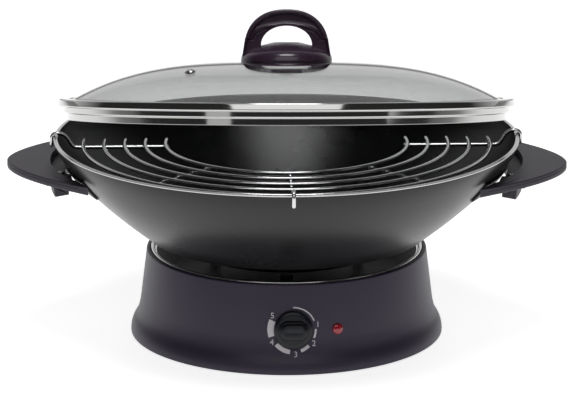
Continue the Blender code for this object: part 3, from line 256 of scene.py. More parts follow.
def carve(piece, cutters, sharp=35):
    """Cut closed meshes out of a piece, and keep the result as its mesh."""
    for cutter in cutters:
        step = piece.modifiers.new("hole", "BOOLEAN")
        step.operation, step.solver, step.object = "DIFFERENCE", "EXACT", cutter
    shape = piece.evaluated_get(bpy.context.evaluated_depsgraph_get())
    carved = bpy.data.meshes.new_from_object(shape)
    piece.modifiers.clear()
    piece.data = carved
    soften(carved, sharp)
    for cutter in cutters:
        bpy.data.objects.remove(cutter)


def cutter(grids):
    """A helper object for carve."""
    shape = bpy.data.objects.new("cutter", mesh_from("cutter", grids))
    bpy.context.scene.collection.objects.link(shape)
    return shape


# %% [markdown]
# ## Writing shader maths in Python
# A finish is a small network of nodes. The class below wraps one socket, so that an expression
# such as `1 - mask * 0.4` adds the Math nodes by itself. The second class holds one material
# and adds any other node from its type, its settings and its inputs.

# %% Socket and material wrappers
class Wave:
    """A number that varies over the surface: + - * / and > build Math nodes."""

    def __init__(self, tree, socket):
        self.tree, self.socket = tree, socket

    def maths(self, operation, *terms):
        node = self.tree.nodes.new("ShaderNodeMath")
        node.operation = operation
        for slot, term in zip(node.inputs, terms):
            join(self.tree, slot, term)
        return Wave(self.tree, node.outputs[0])

    def __add__(self, other): return self.maths("ADD", self, other)
    def __radd__(self, other): return self.maths("ADD", other, self)
    def __sub__(self, other): return self.maths("SUBTRACT", self, other)
    def __rsub__(self, other): return self.maths("SUBTRACT", other, self)
    def __mul__(self, other): return self.maths("MULTIPLY", self, other)
    def __rmul__(self, other): return self.maths("MULTIPLY", other, self)
    def __truediv__(self, other): return self.maths("DIVIDE", self, other)
    def __rtruediv__(self, other): return self.maths("DIVIDE", other, self)
    def __pow__(self, other): return self.maths("POWER", self, other)
    def __abs__(self): return self.maths("ABSOLUTE", self)
    def sine(self): return self.maths("SINE", self)
    def atan2(self, other): return self.maths("ARCTAN2", self, other)

    def between(self, low, high):
        """0 at low, 1 at high and beyond, straight between."""
        node = self.tree.nodes.new("ShaderNodeMapRange")
        join(self.tree, node.inputs["Value"], self)
        node.inputs["From Min"].default_value = low
        node.inputs["From Max"].default_value = high
        return Wave(self.tree, node.outputs[0])


def join(tree, slot, term):
    """Put a link or a plain value on a socket."""
    if isinstance(term, Wave):
        tree.links.new(term.socket, slot)
    elif isinstance(term, (tuple, list)) and len(term) == 3 and slot.type == "RGBA":
        slot.default_value = (*term, 1)
    else:
        slot.default_value = term


class Finish:
    """One Principled material and the nodes behind it."""

    def __init__(self, name, **values):
        self.material = bpy.data.materials.new(name)
        self.material.use_nodes = True
        self.tree = self.material.node_tree
        self.shader = self.tree.nodes["Principled BSDF"]
        for title, value in values.items():
            self.set(title.replace("_", " "), value)

    def set(self, title, value):
        join(self.tree, self.shader.inputs[title], value)

    def node(self, kind, settings=None, inputs=None, output=0):
        node = self.tree.nodes.new(kind)
        for title, value in (settings or {}).items():
            setattr(node, title, value)
        for title, value in (inputs or {}).items():
            join(self.tree, node.inputs[title], value)
        return Wave(self.tree, node.outputs[output])

    def place(self):
        """The point's own place, in metres, since every object stands at the origin."""
        return self.node("ShaderNodeTexCoord", output="Object")

    def split(self, vector):
        node = self.tree.nodes.new("ShaderNodeSeparateXYZ")
        join(self.tree, node.inputs[0], vector)
        return [Wave(self.tree, out) for out in node.outputs]

    def noise(self, size_mm, detail=2.0):
        """Soft noise with features about this many millimetres across."""
        return self.node("ShaderNodeTexNoise", None, {
            "Vector": self.place(), "Scale": 1000.0 / size_mm, "Detail": detail})

    def mix(self, factor, first, second):
        return self.node("ShaderNodeMix", {"data_type": "RGBA"},
                         {0: factor, 6: first, 7: second}, 2)

    def bump(self, height, depth_mm, strength):
        return self.node("ShaderNodeBump", None, {
            "Height": height, "Distance": depth_mm * MM, "Strength": strength})


def srgb(*levels):
    """Picture levels 0-255 as linear light: ((c + 0.055) / 1.055) ** 2.4."""
    c = np.array(levels) / 255
    return tuple(np.where(c < 0.04045, c / 12.92, ((c + 0.055) / 1.055) ** 2.4).tolist())


# %% [markdown]
# ## Moulded plastic
# Base and handles are moulded in a dark aubergine grey. The satin grain is too small to model,
# so it is a bump of noise half a millimetre across, and roughness changes slowly.

# %% Plastics
def plastic(name, colour, roughness, grain_mm=0.45, grain_depth=0.012, coat=0.0, index=1.5):
    finish = Finish(name, IOR=index)
    slow = finish.noise(38, 3)
    finish.set("Base Color", finish.mix(slow, tuple(c * 0.9 for c in colour),
                                        tuple(c * 1.1 for c in colour)))
    finish.set("Roughness", roughness + slow * 0.10 - 0.05)
    finish.set("Normal", finish.bump(finish.noise(grain_mm, 2), grain_depth, 0.5))
    finish.set("Coat Weight", coat)
    return finish.material


base_plastic = plastic("base_plastic", srgb(50, 43, 61), 0.42, index=1.43)
handle_plastic = plastic("handle_plastic", srgb(50, 45, 55), 0.50, index=1.46)
lid_plastic = plastic("lid_plastic", srgb(60, 42, 60), 0.26, 0.6, 0.006, 0.25)
control_plastic = plastic("control_plastic", srgb(15, 17, 26), 0.30, 0.5, 0.008, 0.0, 1.42)
plain_black = plastic("plain_black", srgb(24, 24, 27), 0.5)
beige_plastic = plastic("beige_plastic", srgb(196, 188, 160), 0.55)
rubber = plastic("rubber", srgb(28, 28, 30), 0.8, 0.8, 0.03)
print("plastics ready:", base_plastic.name, handle_plastic.name, lid_plastic.name)

# %% [markdown]
# ## Metal
# Chrome wire and the lid's rolled band are bright metal. Polishing leaves very fine rings, so
# the band's roughness follows noise read along the radius only. The element is dull steel.

# %% Metals
def metal(name, colour, roughness, spread=0.05, mottle_mm=14, scratch=0.0):
    finish = Finish(name, Metallic=1.0)
    patches = finish.noise(mottle_mm, 4)
    finish.set("Base Color", finish.mix(patches, tuple(c * 0.92 for c in colour), colour))
    finish.set("Roughness", roughness + patches * spread - spread / 2)
    if scratch:
        finish.set("Normal", finish.bump(finish.noise(0.35, 2), scratch, 0.4))
    return finish.material


def spun_metal(name, colour, roughness, tilt=0.0):
    """Bright metal with fine rings about an axis that leans by tilt degrees."""
    finish = Finish(name, Metallic=1.0)
    straight = finish.node("ShaderNodeMapping", None,
                           {"Vector": finish.place(), "Rotation": (radians(tilt), 0, 0)})
    x, y, z = finish.split(straight)
    radius = (x * x + y * y) ** 0.5
    rings = finish.node("ShaderNodeTexNoise", {"noise_dimensions": "2D"}, {
        "Vector": finish.node("ShaderNodeCombineXYZ", None, {0: radius, 1: z}),
        "Scale": 2600.0, "Detail": 2.0})
    finish.set("Base Color", finish.mix(rings, tuple(c * 0.93 for c in colour), colour))
    finish.set("Roughness", roughness + rings * 0.06 - 0.03)
    return finish.material


chrome = metal("chrome", (0.66, 0.66, 0.67), 0.12)
ring_steel = spun_metal("ring_steel", (0.60, 0.60, 0.59), 0.08, LID_LEAN)
trim_chrome = spun_metal("trim_chrome", (0.80, 0.80, 0.80), 0.12)
small_steel = metal("small_steel", (0.60, 0.60, 0.59), 0.25, 0.1, 6)
zinc = metal("zinc", (0.45, 0.45, 0.44), 0.40, 0.15, 5, 0.01)
element_steel = metal("element_steel", (0.10, 0.095, 0.09), 0.45, 0.25, 11, 0.02)
black_steel = plastic("black_steel", srgb(20, 20, 22), 0.45, 0.5, 0.01)

# %% [markdown]
# ## The wok's coating and bare rim
# The wok is die-cast and coated inside and out in a charcoal non-stick finish with a faint
# sparkle, and only the top of its rim is machined back to bright metal. One material covers
# both: a mask made from height is 1 on the rim, and colour, metal and roughness follow it.

# %% Coated bowl
RIM_TOP, BARE_DEPTH, BARE_BLEND = 156.4, 1.10, 0.15


def coated_metal():
    finish = Finish("coated_bowl", IOR=1.42)
    height = finish.split(finish.place())[2]
    rim = height.between((RIM_TOP - BARE_DEPTH) * MM, (RIM_TOP - BARE_DEPTH + BARE_BLEND) * MM)
    sparkle = finish.noise(0.55, 2).between(0.62, 0.74)
    slow = finish.noise(45, 3)
    coat = finish.mix(sparkle * 0.30, srgb(15, 15, 17), srgb(66, 66, 69))
    finish.set("Base Color", finish.mix(rim, coat, (0.60, 0.60, 0.59)))
    finish.set("Metallic", rim)
    finish.set("Roughness", 0.25 + slow * 0.06 - rim * 0.08)
    finish.set("Normal", finish.bump(finish.noise(0.7, 2), 0.012, 0.35))
    return finish.material


coated_bowl = coated_metal()
print("bare metal starts", RIM_TOP - BARE_DEPTH, "mm above the table")

# %% [markdown]
# ## Glass, lens and print
# The dome is clear tempered glass about four millimetres thick, so it is modelled with both of
# its faces and refracts. The pilot lamp is a red lens with facets that meet in a star behind
# it. The marks round the control knob are printed in pale grey ink.

# %% Glass, lens and print
def clear_glass():
    finish = Finish("lid_glass", IOR=1.45, Roughness=0.0, Transmission_Weight=1.0)
    finish.set("Base Color", (0.75, 0.76, 0.76))
    finish.set("Normal", finish.bump(finish.noise(60, 1), 0.02, 0.3))
    return finish.material


def star_lens():
    """Red plastic, darker along eight rays: |sin 4a| near 0 at the lamp's own bearings."""
    finish = Finish("red_lens", IOR=1.49, Roughness=0.12, Coat_Weight=0.6,
                    Emission_Strength=0.04)
    # the lens is turned back to its own axis, so that a ray is a bearing in its XY plane
    centre = LAMP_AXIS.translation * MM
    local = finish.node("ShaderNodeVectorMath", {"operation": "SUBTRACT"},
                        {0: finish.place(), 1: tuple(centre)})
    level = finish.node("ShaderNodeMapping", None, {
        "Vector": local, "Rotation": (0, 0, -radians(LAMP_BEARING))})
    x, y, z = finish.split(level)
    ray = abs((z.atan2(x) * 4).sine())
    radius = (x * x + z * z) ** 0.5
    dark = (1 - ray.between(0.0, 0.55)) * radius.between(0.0008, 0.0022)
    colour = finish.mix(dark, srgb(150, 18, 34), srgb(74, 6, 14))
    finish.set("Base Color", colour)
    finish.set("Emission Color", colour)
    return finish.material


def ink():
    finish = Finish("pale_ink", IOR=1.4)
    wear = finish.noise(1.2, 3)
    finish.set("Base Color", finish.mix(wear, srgb(186, 183, 186), srgb(206, 203, 206)))
    finish.set("Roughness", 0.5 + wear * 0.1)
    return finish.material


lid_glass, red_lens, pale_ink = clear_glass(), star_lens(), ink()

# %% Finishes for the CAD nodes that stay
STAYING = {
    "bottom_cover": plain_black, "lamp_body": plain_black,
    "terminal_block": beige_plastic, "thermostat_body": beige_plastic,
    "thermostat_bracket": zinc, "control_shaft": zinc, "sensor_tube": zinc,
}
STAYING.update({f"cover_screw_{i}": zinc for i in range(1, 5)})
STAYING.update({f"element_support_{i}": zinc for i in range(1, 4)})
for name, material in STAYING.items():
    nodes[name].data.materials.clear()
    nodes[name].data.materials.append(material)
print(len(STAYING), "CAD nodes keep their shape")

# %% [markdown]
# ## The base
# The base is one moulding: a narrow lip at the top, a wall that leans out as it goes down, and
# a skirt that flares like the foot of a lamp. It is a closed profile turned about the middle.
# Four hollow pillars inside take the screws of the cover, and three holes are cut through.

# %% Housing
housing_profile = rounded(
    [(106.3, 68.0), (109.05, 68.0), (114.6, 24.0), (116.9, 15.2), (120.3, 10.4), (122.0, 5.4),
     (122.2, 1.0), (119.7, 1.0), (119.5, 5.6), (117.8, 9.6), (114.4, 14.6), (112.2, 23.0),
     (107.55, 59.5), (101.2, 59.5), (101.2, 62.0), (106.3, 62.0)],
    [0.5, 1.3, 5, 4, 4, 3, 0.5, 0.5, 3, 3, 4, 4, 1.5, 0.5, 0.5, 0.8], closed=True)
grids = [ring_grid(housing_profile, 192)]
for bearing in (30, 150, 210, 330):
    pillar = rounded([(1.8, 60.7), (3.6, 60.7), (3.6, 5.3), (1.8, 5.3)], 0.2, 3, closed=True)
    at = Matrix.Translation((103.2 * np.cos(radians(bearing)),
                             103.2 * np.sin(radians(bearing)), 0))
    grids.append(ring_grid(pillar, 24, at))
housing = add_piece("housing_moulding", grids, "base", base_plastic, ["base_housing"])


def wall_hole(axis, radius):
    profile = [(0, -7), (radius, -7), (radius, 4), (0, 4)]
    return cutter([disc_grid(profile, 32, axis @ OUTWARD)])


carve(housing, [wall_hole(KNOB_AXIS, 3.3), wall_hole(LAMP_AXIS, 3.5),
                wall_hole(GLAND_AXIS, 5.8)])

# %% Feet
foot_profile = rounded([(0, 2.7), (8.0, 2.7), (7.6, 0.0), (5.2, 0.0), (4.8, 0.5), (0, 0.5)],
                       [0, 0.3, 0.8, 0.3, 0.3, 0], 4)
feet = []
for bearing in (60, 120, 240, 300):
    at = Matrix.Translation((98 * np.cos(radians(bearing)), 98 * np.sin(radians(bearing)), 0))
    feet.append(disc_grid(foot_profile, 40, at))
add_piece("feet", feet, "base", rubber, [f"foot_{i}" for i in range(1, 5)])

# %% [markdown]
# ## The well
# Under the wok lies a pressed steel dish with a stepped floor. A bright ring closes the joint
# between dish and housing, and a tubular element stands on three clips. The tube is one sweep
# along an open circle whose ends turn down, with the radius from the middle as its side.

# %% Well and trim ring
well_top = [(106.0, 63.3), (100.4, 63.3), (88.8, 50.6), (86.4, 47.5), (60.0, 47.5),
            (58.5, 46.9), (54.5, 46.9), (53.0, 47.5), (0, 47.5)]
well_low = [(0, 46.5), (52.8, 46.5), (54.3, 46.0), (58.7, 46.0), (60.2, 46.5), (86.8, 46.5),
            (89.6, 49.9), (100.6, 62.3), (106.0, 62.3)]
well = rounded(well_top + well_low, [0, 1, 3, 3, 1, 1, 1, 1, 0, 0, 1, 1, 1, 1, 3, 3, 1, 0], 5)
well = np.vstack([well, well[:1]])
add_piece("well_pressing", [disc_grid(well)], "base", black_steel, ["well_liner"])
trim = rounded([(101.3, 63.6), (105.9, 63.6), (105.9, 69.0), (103.6, 69.0), (102.7, 66.4),
                (101.3, 65.6)], [0.3, 0.3, 1.2, 1.0, 0.8, 0.4], 8, closed=True)
add_piece("trim_bead", [ring_grid(trim, 192)], "base", trim_chrome, ["trim_ring"])


# %% Heating element
ELEMENT_RADIUS, ELEMENT_HEIGHT, ELEMENT_BEND, ELEMENT_END = 72, 70.2, 8, 37.5


def element_route():
    """An arc of radius 72 from 104 to 436 degrees, whose ends bend through 8 mm and drop."""
    bearing = np.radians(np.linspace(104, 436, 150))
    arc = np.stack([ELEMENT_RADIUS * np.cos(bearing), ELEMENT_RADIUS * np.sin(bearing),
                    ELEMENT_HEIGHT + 0 * bearing], -1)
    side = np.stack([np.cos(bearing), np.sin(bearing), 0 * bearing], -1)
    turn = np.radians(np.linspace(10, 90, 9))[:, None]
    paths, sides = [], []
    for end, way in ((0, -1), (-1, 1)):
        along = way * np.array([-side[end, 1], side[end, 0], 0])
        bend = arc[end] + ELEMENT_BEND * (along * np.sin(turn)
                                          + [0, 0, -1] * (1 - np.cos(turn)))
        leg = np.linspace(bend[-1], [*bend[-1][:2], ELEMENT_END], 6)[1:]
        tail = np.vstack([bend, leg])
        paths.append(tail)
        sides.append(np.repeat(side[end][None], len(tail), 0))
    path = np.vstack([paths[0][::-1], arc, paths[1]])
    return path, np.vstack([sides[0], side, sides[1]])


path, side = element_route()
rod = tube(path, 3.5, side, 20)
add_piece("element_tube", [tube_grid(rod)], "base", element_steel, ["heating_element"])

# %% [markdown]
# ## Knob, lamp and cord bush
# The control knob is a low disc with a bar across it. The disc is a turned profile, and the bar
# is a stack of rounded outlines that shrink towards the top, so that light catches two edges.
# Lens and bush are turned profiles laid along the wall's own outward direction.

# %% Control knob
def bar_grid(heights, lengths, widths, steps=48):
    """Stacked stadium outlines: a half circle, as wide as the bar, at each end of its length."""
    turn = np.linspace(0, 2 * np.pi, steps, endpoint=False) + np.pi / steps
    heights, lengths, widths = (np.asarray(v, float)[:, None] for v in
                                (heights, lengths, widths))
    straight = (lengths - widths) / 2 * np.sign(np.cos(turn))
    return np.stack([straight + widths / 2 * np.cos(turn), widths / 2 * np.sin(turn),
                     heights + 0 * turn], -1)


knob_disc = rounded([(0, 3.9), (12.2, 3.9), (14.2, 2.9), (14.8, 1.4), (14.8, 0.6), (3.3, 0.6),
                     (3.3, 9.0), (0, 9.0)], [0, 0.8, 0.9, 0.4, 0.2, 0.1, 0.1, 0], 5)
bar = bar_grid([2.0, 5.6, 6.3, 6.7, 6.9, 12.1, 12.7, 13.0, 13.1, 12.8],
               [23.6, 23.0, 22.6, 21.9, 20.4, 19.2, 18.8, 18.0, 17.0, 12.0],
               [15.0, 14.4, 14.0, 13.3, 11.8, 10.4, 10.0, 9.2, 8.2, 2.5])
knob_out = KNOB_AXIS @ OUTWARD
knob = [disc_grid(knob_disc, 72, knob_out), (place(bar, knob_out), False, True, True)]
add_piece("knob_of_heat", knob, "knob", control_plastic, ["control_knob"],
          sharp=30)

# %% Lamp lens and cord bush
lens = rounded([(0, 2.5), (2.4, 2.2), (3.9, 1.3), (4.3, 0.3), (3.2, 0.3), (3.2, -4.2),
                (0, -4.2)], [0, 1.2, 0.7, 0.1, 0.1, 0.2, 0], 6)
add_piece("lamp_dome", [disc_grid(lens, 48, LAMP_AXIS @ OUTWARD)], "base", red_lens,
          ["lamp_lens"])
bush = rounded([(3.75, 4.5), (5.3, 4.5), (5.5, 3.9), (5.1, 3.7), (5.6, 3.0), (7.5, 2.6),
                (7.5, 0.6), (5.5, 0.6), (5.5, -3.1), (7.5, -3.1), (7.5, -5.1), (3.75, -5.1)],
               0.3, 4, closed=True)
add_piece("cord_bush", [ring_grid(bush, 48, GLAND_AXIS @ OUTWARD)], "base", rubber,
          ["cord_gland"])

# %% [markdown]
# ## Marks round the dial
# The heat scale is a broken arc that grows thicker from 1 to 5, printed on the curved wall. Each
# stroke is worked out flat as bearing and radius, then wrapped on the base: its height becomes
# a length along the wall's own profile. The numbers are text that is made a mesh first.

# %% Dial marks
INK = 0.08  # thickness of the print, in mm
face = housing_profile[6:36]                    # corners 1 to 5, six points each: the outer wall
face = face[np.argsort(face[:, 1])]
run = np.concatenate([[0], np.cumsum(np.linalg.norm(np.diff(face, axis=0), axis=1))])
middle = np.interp(KNOB_HEIGHT, face[:, 1], run)


def on_wall(u, v, lift):
    """Flat (u, v) wrapped on the base: v is a length along the wall's profile, measured from
    the knob's axis, u is a length round the wall, and lift is square to both."""
    radius = np.interp(middle + v, run, face[:, 0])
    height = np.interp(middle + v, run, face[:, 1])
    ahead = np.interp(middle + v + 0.5, run, face[:, 0]) - radius
    rise = np.interp(middle + v + 0.5, run, face[:, 1]) - height
    size = np.hypot(ahead, rise)
    bearing = radians(KNOB_BEARING) + u / radius
    radius, height = radius + lift * rise / size, height - lift * ahead / size
    return np.stack([radius * np.sin(bearing), -radius * np.cos(bearing), height], -1)


def stroke(first, last, width, radius=17.0):
    """A flat bar of ink along an arc, clockwise from the top, with four long edges."""
    bearing = np.radians(np.linspace(first, last, 24))[:, None]
    reach = radius + width * np.array([-0.5, 0.5, 0.5, -0.5])
    lift = np.array([-0.02, -0.02, INK, INK]) + 0 * bearing
    return on_wall(reach * np.sin(bearing), reach * np.cos(bearing), lift), False, True, True


def numeral(text, bearing, radius=18.9, size=6.2):
    """A printed number: text made a mesh, then wrapped on the wall."""
    curve = bpy.data.curves.new("numeral", "FONT")
    curve.body, curve.size, curve.extrude = text, size, INK / 2
    curve.align_x, curve.align_y = "CENTER", "CENTER"
    shape = bpy.data.objects.new("numeral", curve)
    bpy.context.scene.collection.objects.link(shape)
    flat = bpy.data.meshes.new_from_object(
        shape.evaluated_get(bpy.context.evaluated_depsgraph_get()))
    bpy.data.objects.remove(shape)
    points = np.zeros(len(flat.vertices) * 3)
    flat.vertices.foreach_get("co", points)
    points = points.reshape(-1, 3)
    angle = radians(bearing)
    points = on_wall(points[:, 0] + radius * np.sin(angle), points[:, 1] + radius * np.cos(angle),
                     points[:, 2] + INK / 2)
    flat.vertices.foreach_set("co", (points * MM).ravel())
    return flat


strokes = [stroke(0, 68, 1.0), stroke(90, 113, 1.4), stroke(137, 161, 2.5),
           stroke(189, 229, 3.3), stroke(252, 294, 5.2)]
marks = mesh_from("dial_marks", strokes)
bm = bmesh.new()
bm.from_mesh(marks)
for text, bearing in (("1", 80), ("2", 125), ("3", 175), ("4", 239), ("5", 304)):
    bm.from_mesh(numeral(text, bearing))
bmesh.ops.remove_doubles(bm, verts=bm.verts, dist=1e-7)
bmesh.ops.recalc_face_normals(bm, faces=bm.faces)
bm.to_mesh(marks)
bm.free()
add_piece("dial_marks", marks, "base", pale_ink)

# %% [markdown]
# ## The wok
# The wall of the wok falls in one smooth curve: its radius is full at the rim and drops by a
# power of the depth. The inner side is the same curve moved inwards by the wall, square to it.
# Together with a rounded rim and a flat floor this makes one closed profile to turn.

# %% Bowl
WALL_FOOT, WALL_SPREAD, WALL_DEPTH = 109.4, 70.6, 75.6


def bowl_radius(height):
    """109.4 + 70.6 (1 - d^1.38), where d is the share of the wall's depth below the rim."""
    depth = np.clip((RIM_TOP - height) / WALL_DEPTH, 0, 1)
    return WALL_FOOT + WALL_SPREAD * (1 - depth ** 1.38)


def bowl_profile(wall=3.0):
    height = RIM_TOP - WALL_DEPTH * np.linspace(0.012, 1, 44) ** 1.15
    outer = np.stack([bowl_radius(height), height], -1)
    along = np.gradient(outer, axis=0)
    along /= np.linalg.norm(along, axis=1, keepdims=True)
    inner = outer + wall * np.stack([along[:, 1], -along[:, 0]], -1)
    inner = inner[inner[:, 1] > 84][::-1]
    rim = rounded([inner[-1], (inner[-1][0] + 0.25, RIM_TOP), (179.85, RIM_TOP), outer[0]],
                  [0, 0.7, 0.7, 0], 7)
    floor = rounded([(0, 78), (94.0, 78), tuple(inner[0])], [0, 14, 0], 12)
    under = rounded([tuple(outer[-1]), (108.4, 79.7), (92, 74), (88, 74), (86.8, 74.6),
                     (0, 74.6)], [0, 1.5, 2, 0.6, 0.6, 0], 6)
    return np.vstack([floor, inner[1:-1], rim, outer[1:-1], under])


add_piece("wok_shell", [disc_grid(bowl_profile(), 256, WOK)], "wok", coated_bowl, ["wok_bowl"],
          sharp=40)

# %% [markdown]
# ## Handles
# Each handle is a flat wing, pointed where it meets the wok, with a shallow pocket along the
# wok and a raised lip round the pocket. A station runs along the wing and a loop goes round its
# section, so that the whole wing is one grid and the lip fades out towards the points.

# %% Handle wings
INNER = 171.8


def wing_grid(reach=217.2, half=89.0, low=131.0, high=137.0):
    """One wing, as stations along Y and a loop round each section.

    Outer edge: x = reach - (reach - root) s^2, y = half |s|^1.12. Inner edge: an arc of radius
    171.8. The top is the plate, plus a lip of 2 mm, less a pocket of 4 mm inside the lip.
    """
    s = np.sin(np.linspace(-np.pi / 2, np.pi / 2, 121))
    root = np.sqrt(INNER ** 2 - half ** 2)
    outer = np.stack([reach - (reach - root) * s ** 2, np.sign(s) * half * abs(s) ** 1.12], -1)
    bearing = s * np.arcsin(half / INNER)
    inner = INNER * np.stack([np.cos(bearing), np.sin(bearing)], -1)
    width = np.linalg.norm(outer - inner, axis=1)[:, None]
    way = (outer - inner) / np.maximum(width, 1e-6)
    # the edge: a rounded top, a groove under the top plate, and a rounded foot
    edge_z = np.array([0, 0.15, 0.5, 1.0, 3.5, 3.7, 3.85, 4.0, 4.2, 4.9, 5.4, 5.75, 5.95, 6.0])
    edge_in = np.array([1.0, 0.5, 0.12, 0, 0, 0.1, 0.55, 0.55, 0.1, 0, 0.15, 0.5, 0.9, 1.3])
    shrink = np.minimum(1, width / 6)
    fine = np.concatenate([np.linspace(0, 17, 40)[1:], 17 + np.linspace(0, 1, 12)[1:-1] * 28])
    top = np.minimum(1, width / 46.8) * fine[::-1]
    bottom = width * np.linspace(0, 1, 8)[1:-1]
    inside = shrink * np.array([1.0, 0.5, 0.12, 0, 0, 0, 0, 0, 0, 0, 0, 0, 0, 0])
    distance = np.hstack([inside[:, :1], bottom, width - shrink * edge_in, top,
                          inside[:, :0:-1]])
    height = np.concatenate([[0], 0 * bottom[0], edge_z, 6 + 0 * fine, edge_z[:0:-1]])
    distance = np.clip(distance, 0, width)
    xy = inner[:, None] + way[:, None] * distance[:, :, None]
    rho = np.hypot(xy[..., 0], xy[..., 1]) - INNER
    phi = np.degrees(np.arctan2(xy[..., 1], xy[..., 0]))
    fade = np.sqrt(np.clip(1 - (phi / 23.0) ** 2, 0, 1))
    pocket = 10.8 * fade
    within = smooth_step((pocket - rho) / 1.0 + 0.5) * smooth_step(fade * 3)
    lip = smooth_step((pocket + 3.4 - rho) / 2.8) * smooth_step(fade * 2) * (1 - within)
    relief = 2.0 * lip - 4.0 * within
    z = low + height + relief * np.where(height > 5.8, 1, np.clip((height - 3) / 3, 0, 1))
    return np.dstack([xy, z])


wing = wing_grid()
for name, turn in (("right", 0), ("left", 180)):
    grid = place(wing, WOK @ turned_frame(turn))
    add_piece(f"wing_{name}", [tube_grid(grid)], "wok", handle_plastic,
              [f"handle_{name}"], sharp=40)


# %% Blocks under the wings, and the straps they bolt to
def box_grid(low, high):
    """A box as a square carried up Z: four columns, two rows, capped."""
    x0, y0, z0 = low
    x1, y1, z1 = high
    square = np.array([(x0, y0), (x1, y0), (x1, y1), (x0, y1)])
    return np.stack([np.column_stack([square, np.full(4, z)]) for z in (z0, z1)])


def bevel(piece, width, segments=3):
    edge = piece.modifiers.new("edge", "BEVEL")
    edge.width, edge.segments, edge.limit_method = width * MM, segments, "ANGLE"
    edge.angle_limit = radians(40)


SCREW_BEARING = 10.5
under = [(INNER, 129.0), (INNER, 120.2), (182.7, 119.0), (183.9, 128.2), (189.1, 128.2),
         (191.9, 130.7), (183.9, 130.7), (183.9, 129.0)]
strap_z = np.linspace(138.5, 123.0, 9)
strap_in = bowl_radius(strap_z) + 0.3
strap = np.vstack([np.column_stack([strap_in, strap_z]),
                   np.column_stack([strap_in + 2.0, strap_z])[::-1]])
for name, turn in (("right", 0), ("left", 180)):
    at = WOK @ turned_frame(turn)
    block = place(sector(under, np.radians(np.linspace(-16, 16, 33))), at)
    piece = add_piece(f"block_{name}", [capped(block)], "wok", handle_plastic,
                      [f"handle_under_{name}"])
    bevel(piece, 0.6)
    band = [(place(sector(strap, np.radians(np.linspace(-27, 27, 49))), at), False, True, True)]
    for way in (-1, 1):
        tab = box_grid((167.6, -7, 129.0), (181.4, 7, 130.7))
        band.append((place(tab, at @ turned_frame(SCREW_BEARING * way)), False, True, True))
    piece = add_piece(f"strap_{name}", band, "wok", black_steel, [f"handle_bracket_{name}"])
    bevel(piece, 0.25, 2)


# %% Handle screws
def screw_grid(radius, rise, cross, stem, length, steps=48, rings=12):
    """A domed head on a stem: z = rise (1 - (r/R)^2 / 2), less a cross-shaped recess."""
    reach = np.linspace(0, 1, rings)[:, None] * radius
    turn = np.linspace(0, 2 * np.pi, steps, endpoint=False)
    x, y = reach * np.cos(turn), reach * np.sin(turn)
    arm = np.minimum(np.maximum(abs(x) / cross[0], abs(y) / cross[1]),
                     np.maximum(abs(x) / cross[1], abs(y) / cross[0]))
    z = rise * (1 - (reach / radius) ** 2 / 2) - cross[2] * smooth_step((1.25 - arm) / 0.5)
    head = np.stack([x, y, z], -1)
    shank = turned([(radius, 0), (stem, 0), (stem, -length), (0, -length)], steps)
    return np.concatenate([head, shank])


screw = screw_grid(3.2, 1.4, (1.9, 0.42, 0.7), 1.8, 4.0)
screws = []
for turn in (0, 180):
    for bearing in (-SCREW_BEARING, SCREW_BEARING):
        spot = turned_frame(33 * bearing, "Z", (175.9, 0, 133.3))
        at = WOK @ turned_frame(turn + bearing) @ spot
        screws.append((place(screw, at), False, True, False))
add_piece("wing_screws", screws, "wok", small_steel, [f"handle_screw_{i}" for i in range(1, 5)],
          sharp=40)

# %% [markdown]
# ## The rack
# A half-moon rack of three-millimetre wire hangs on the front of the rim. Each wire is a path
# with a round section. The hooks climb over the rim along a smooth curve, and a small bead of
# weld sits wherever an arc crosses a wire that carries it.

# %% Wires
WIRE, ARC_Z, RAIL_Z, WELD_Z = 1.5, 150.4, 147.1, 148.75
CROSS_BEARING = 48.3
RACK_INNER = 92.2  # where rails and cross wires begin
arc_radii = 157.3 - 15.9 * np.arange(5)


def hook():
    """A wire that runs out level, climbs over the rim and hangs down: (reach, height)."""
    shares = np.array([(0, 0), (.14, .10), (.26, .38), (.38, .72), (.54, .95), (.72, 1),
                       (.90, .97), (.985, .80)])
    climb = np.column_stack([163 + 18.8 * shares[:, 0], RAIL_Z + 11.5 * shares[:, 1]])
    path = np.vstack([[(RACK_INNER, RAIL_Z)], climb, [(181.8, 154.9), (181.8, 148.9)]])
    return rounded(path, 1.8, 5)


def wire(name, path, side, replaces):
    path = place(np.asarray(path), RACK)
    side = place(np.broadcast_to(np.asarray(side, float), path.shape), RACK)
    grid = tube(path, WIRE, side)
    add_piece(name, [tube_grid(grid)], "rack", chrome, [replaces], sharp=50)


for i, radius in enumerate(arc_radii):
    tail = np.arcsin((13 - WIRE) / radius)
    bearing = np.linspace(-np.pi - tail, tail, 140)
    path = np.stack([radius * np.cos(bearing), radius * np.sin(bearing),
                     ARC_Z + 0 * bearing], -1)
    wire(f"arc_wire_{i + 1}", path, (0, 0, 1), f"rack_arc_{i + 1}")
reach, height = hook().T
flat = 0 * reach
wire("rail_wire_right", np.stack([reach, flat + 2, height], -1), (0, 1, 0), "rack_rail_right")
wire("rail_wire_left", np.stack([-reach, flat + 2, height], -1), (0, 1, 0), "rack_rail_left")
wire("front_wire", np.stack([flat, -reach, height], -1), (1, 0, 0), "rack_front_hook")
for name, bearing in (("left", -180 + CROSS_BEARING), ("right", -CROSS_BEARING)):
    along = np.array([np.cos(radians(bearing)), np.sin(radians(bearing)), 0])
    path = np.linspace(RACK_INNER, 158.8, 12)[:, None] * along + [0, 0, RAIL_Z]
    wire(f"cross_wire_{name}", path, (0, 0, 1), f"rack_cross_{name}")


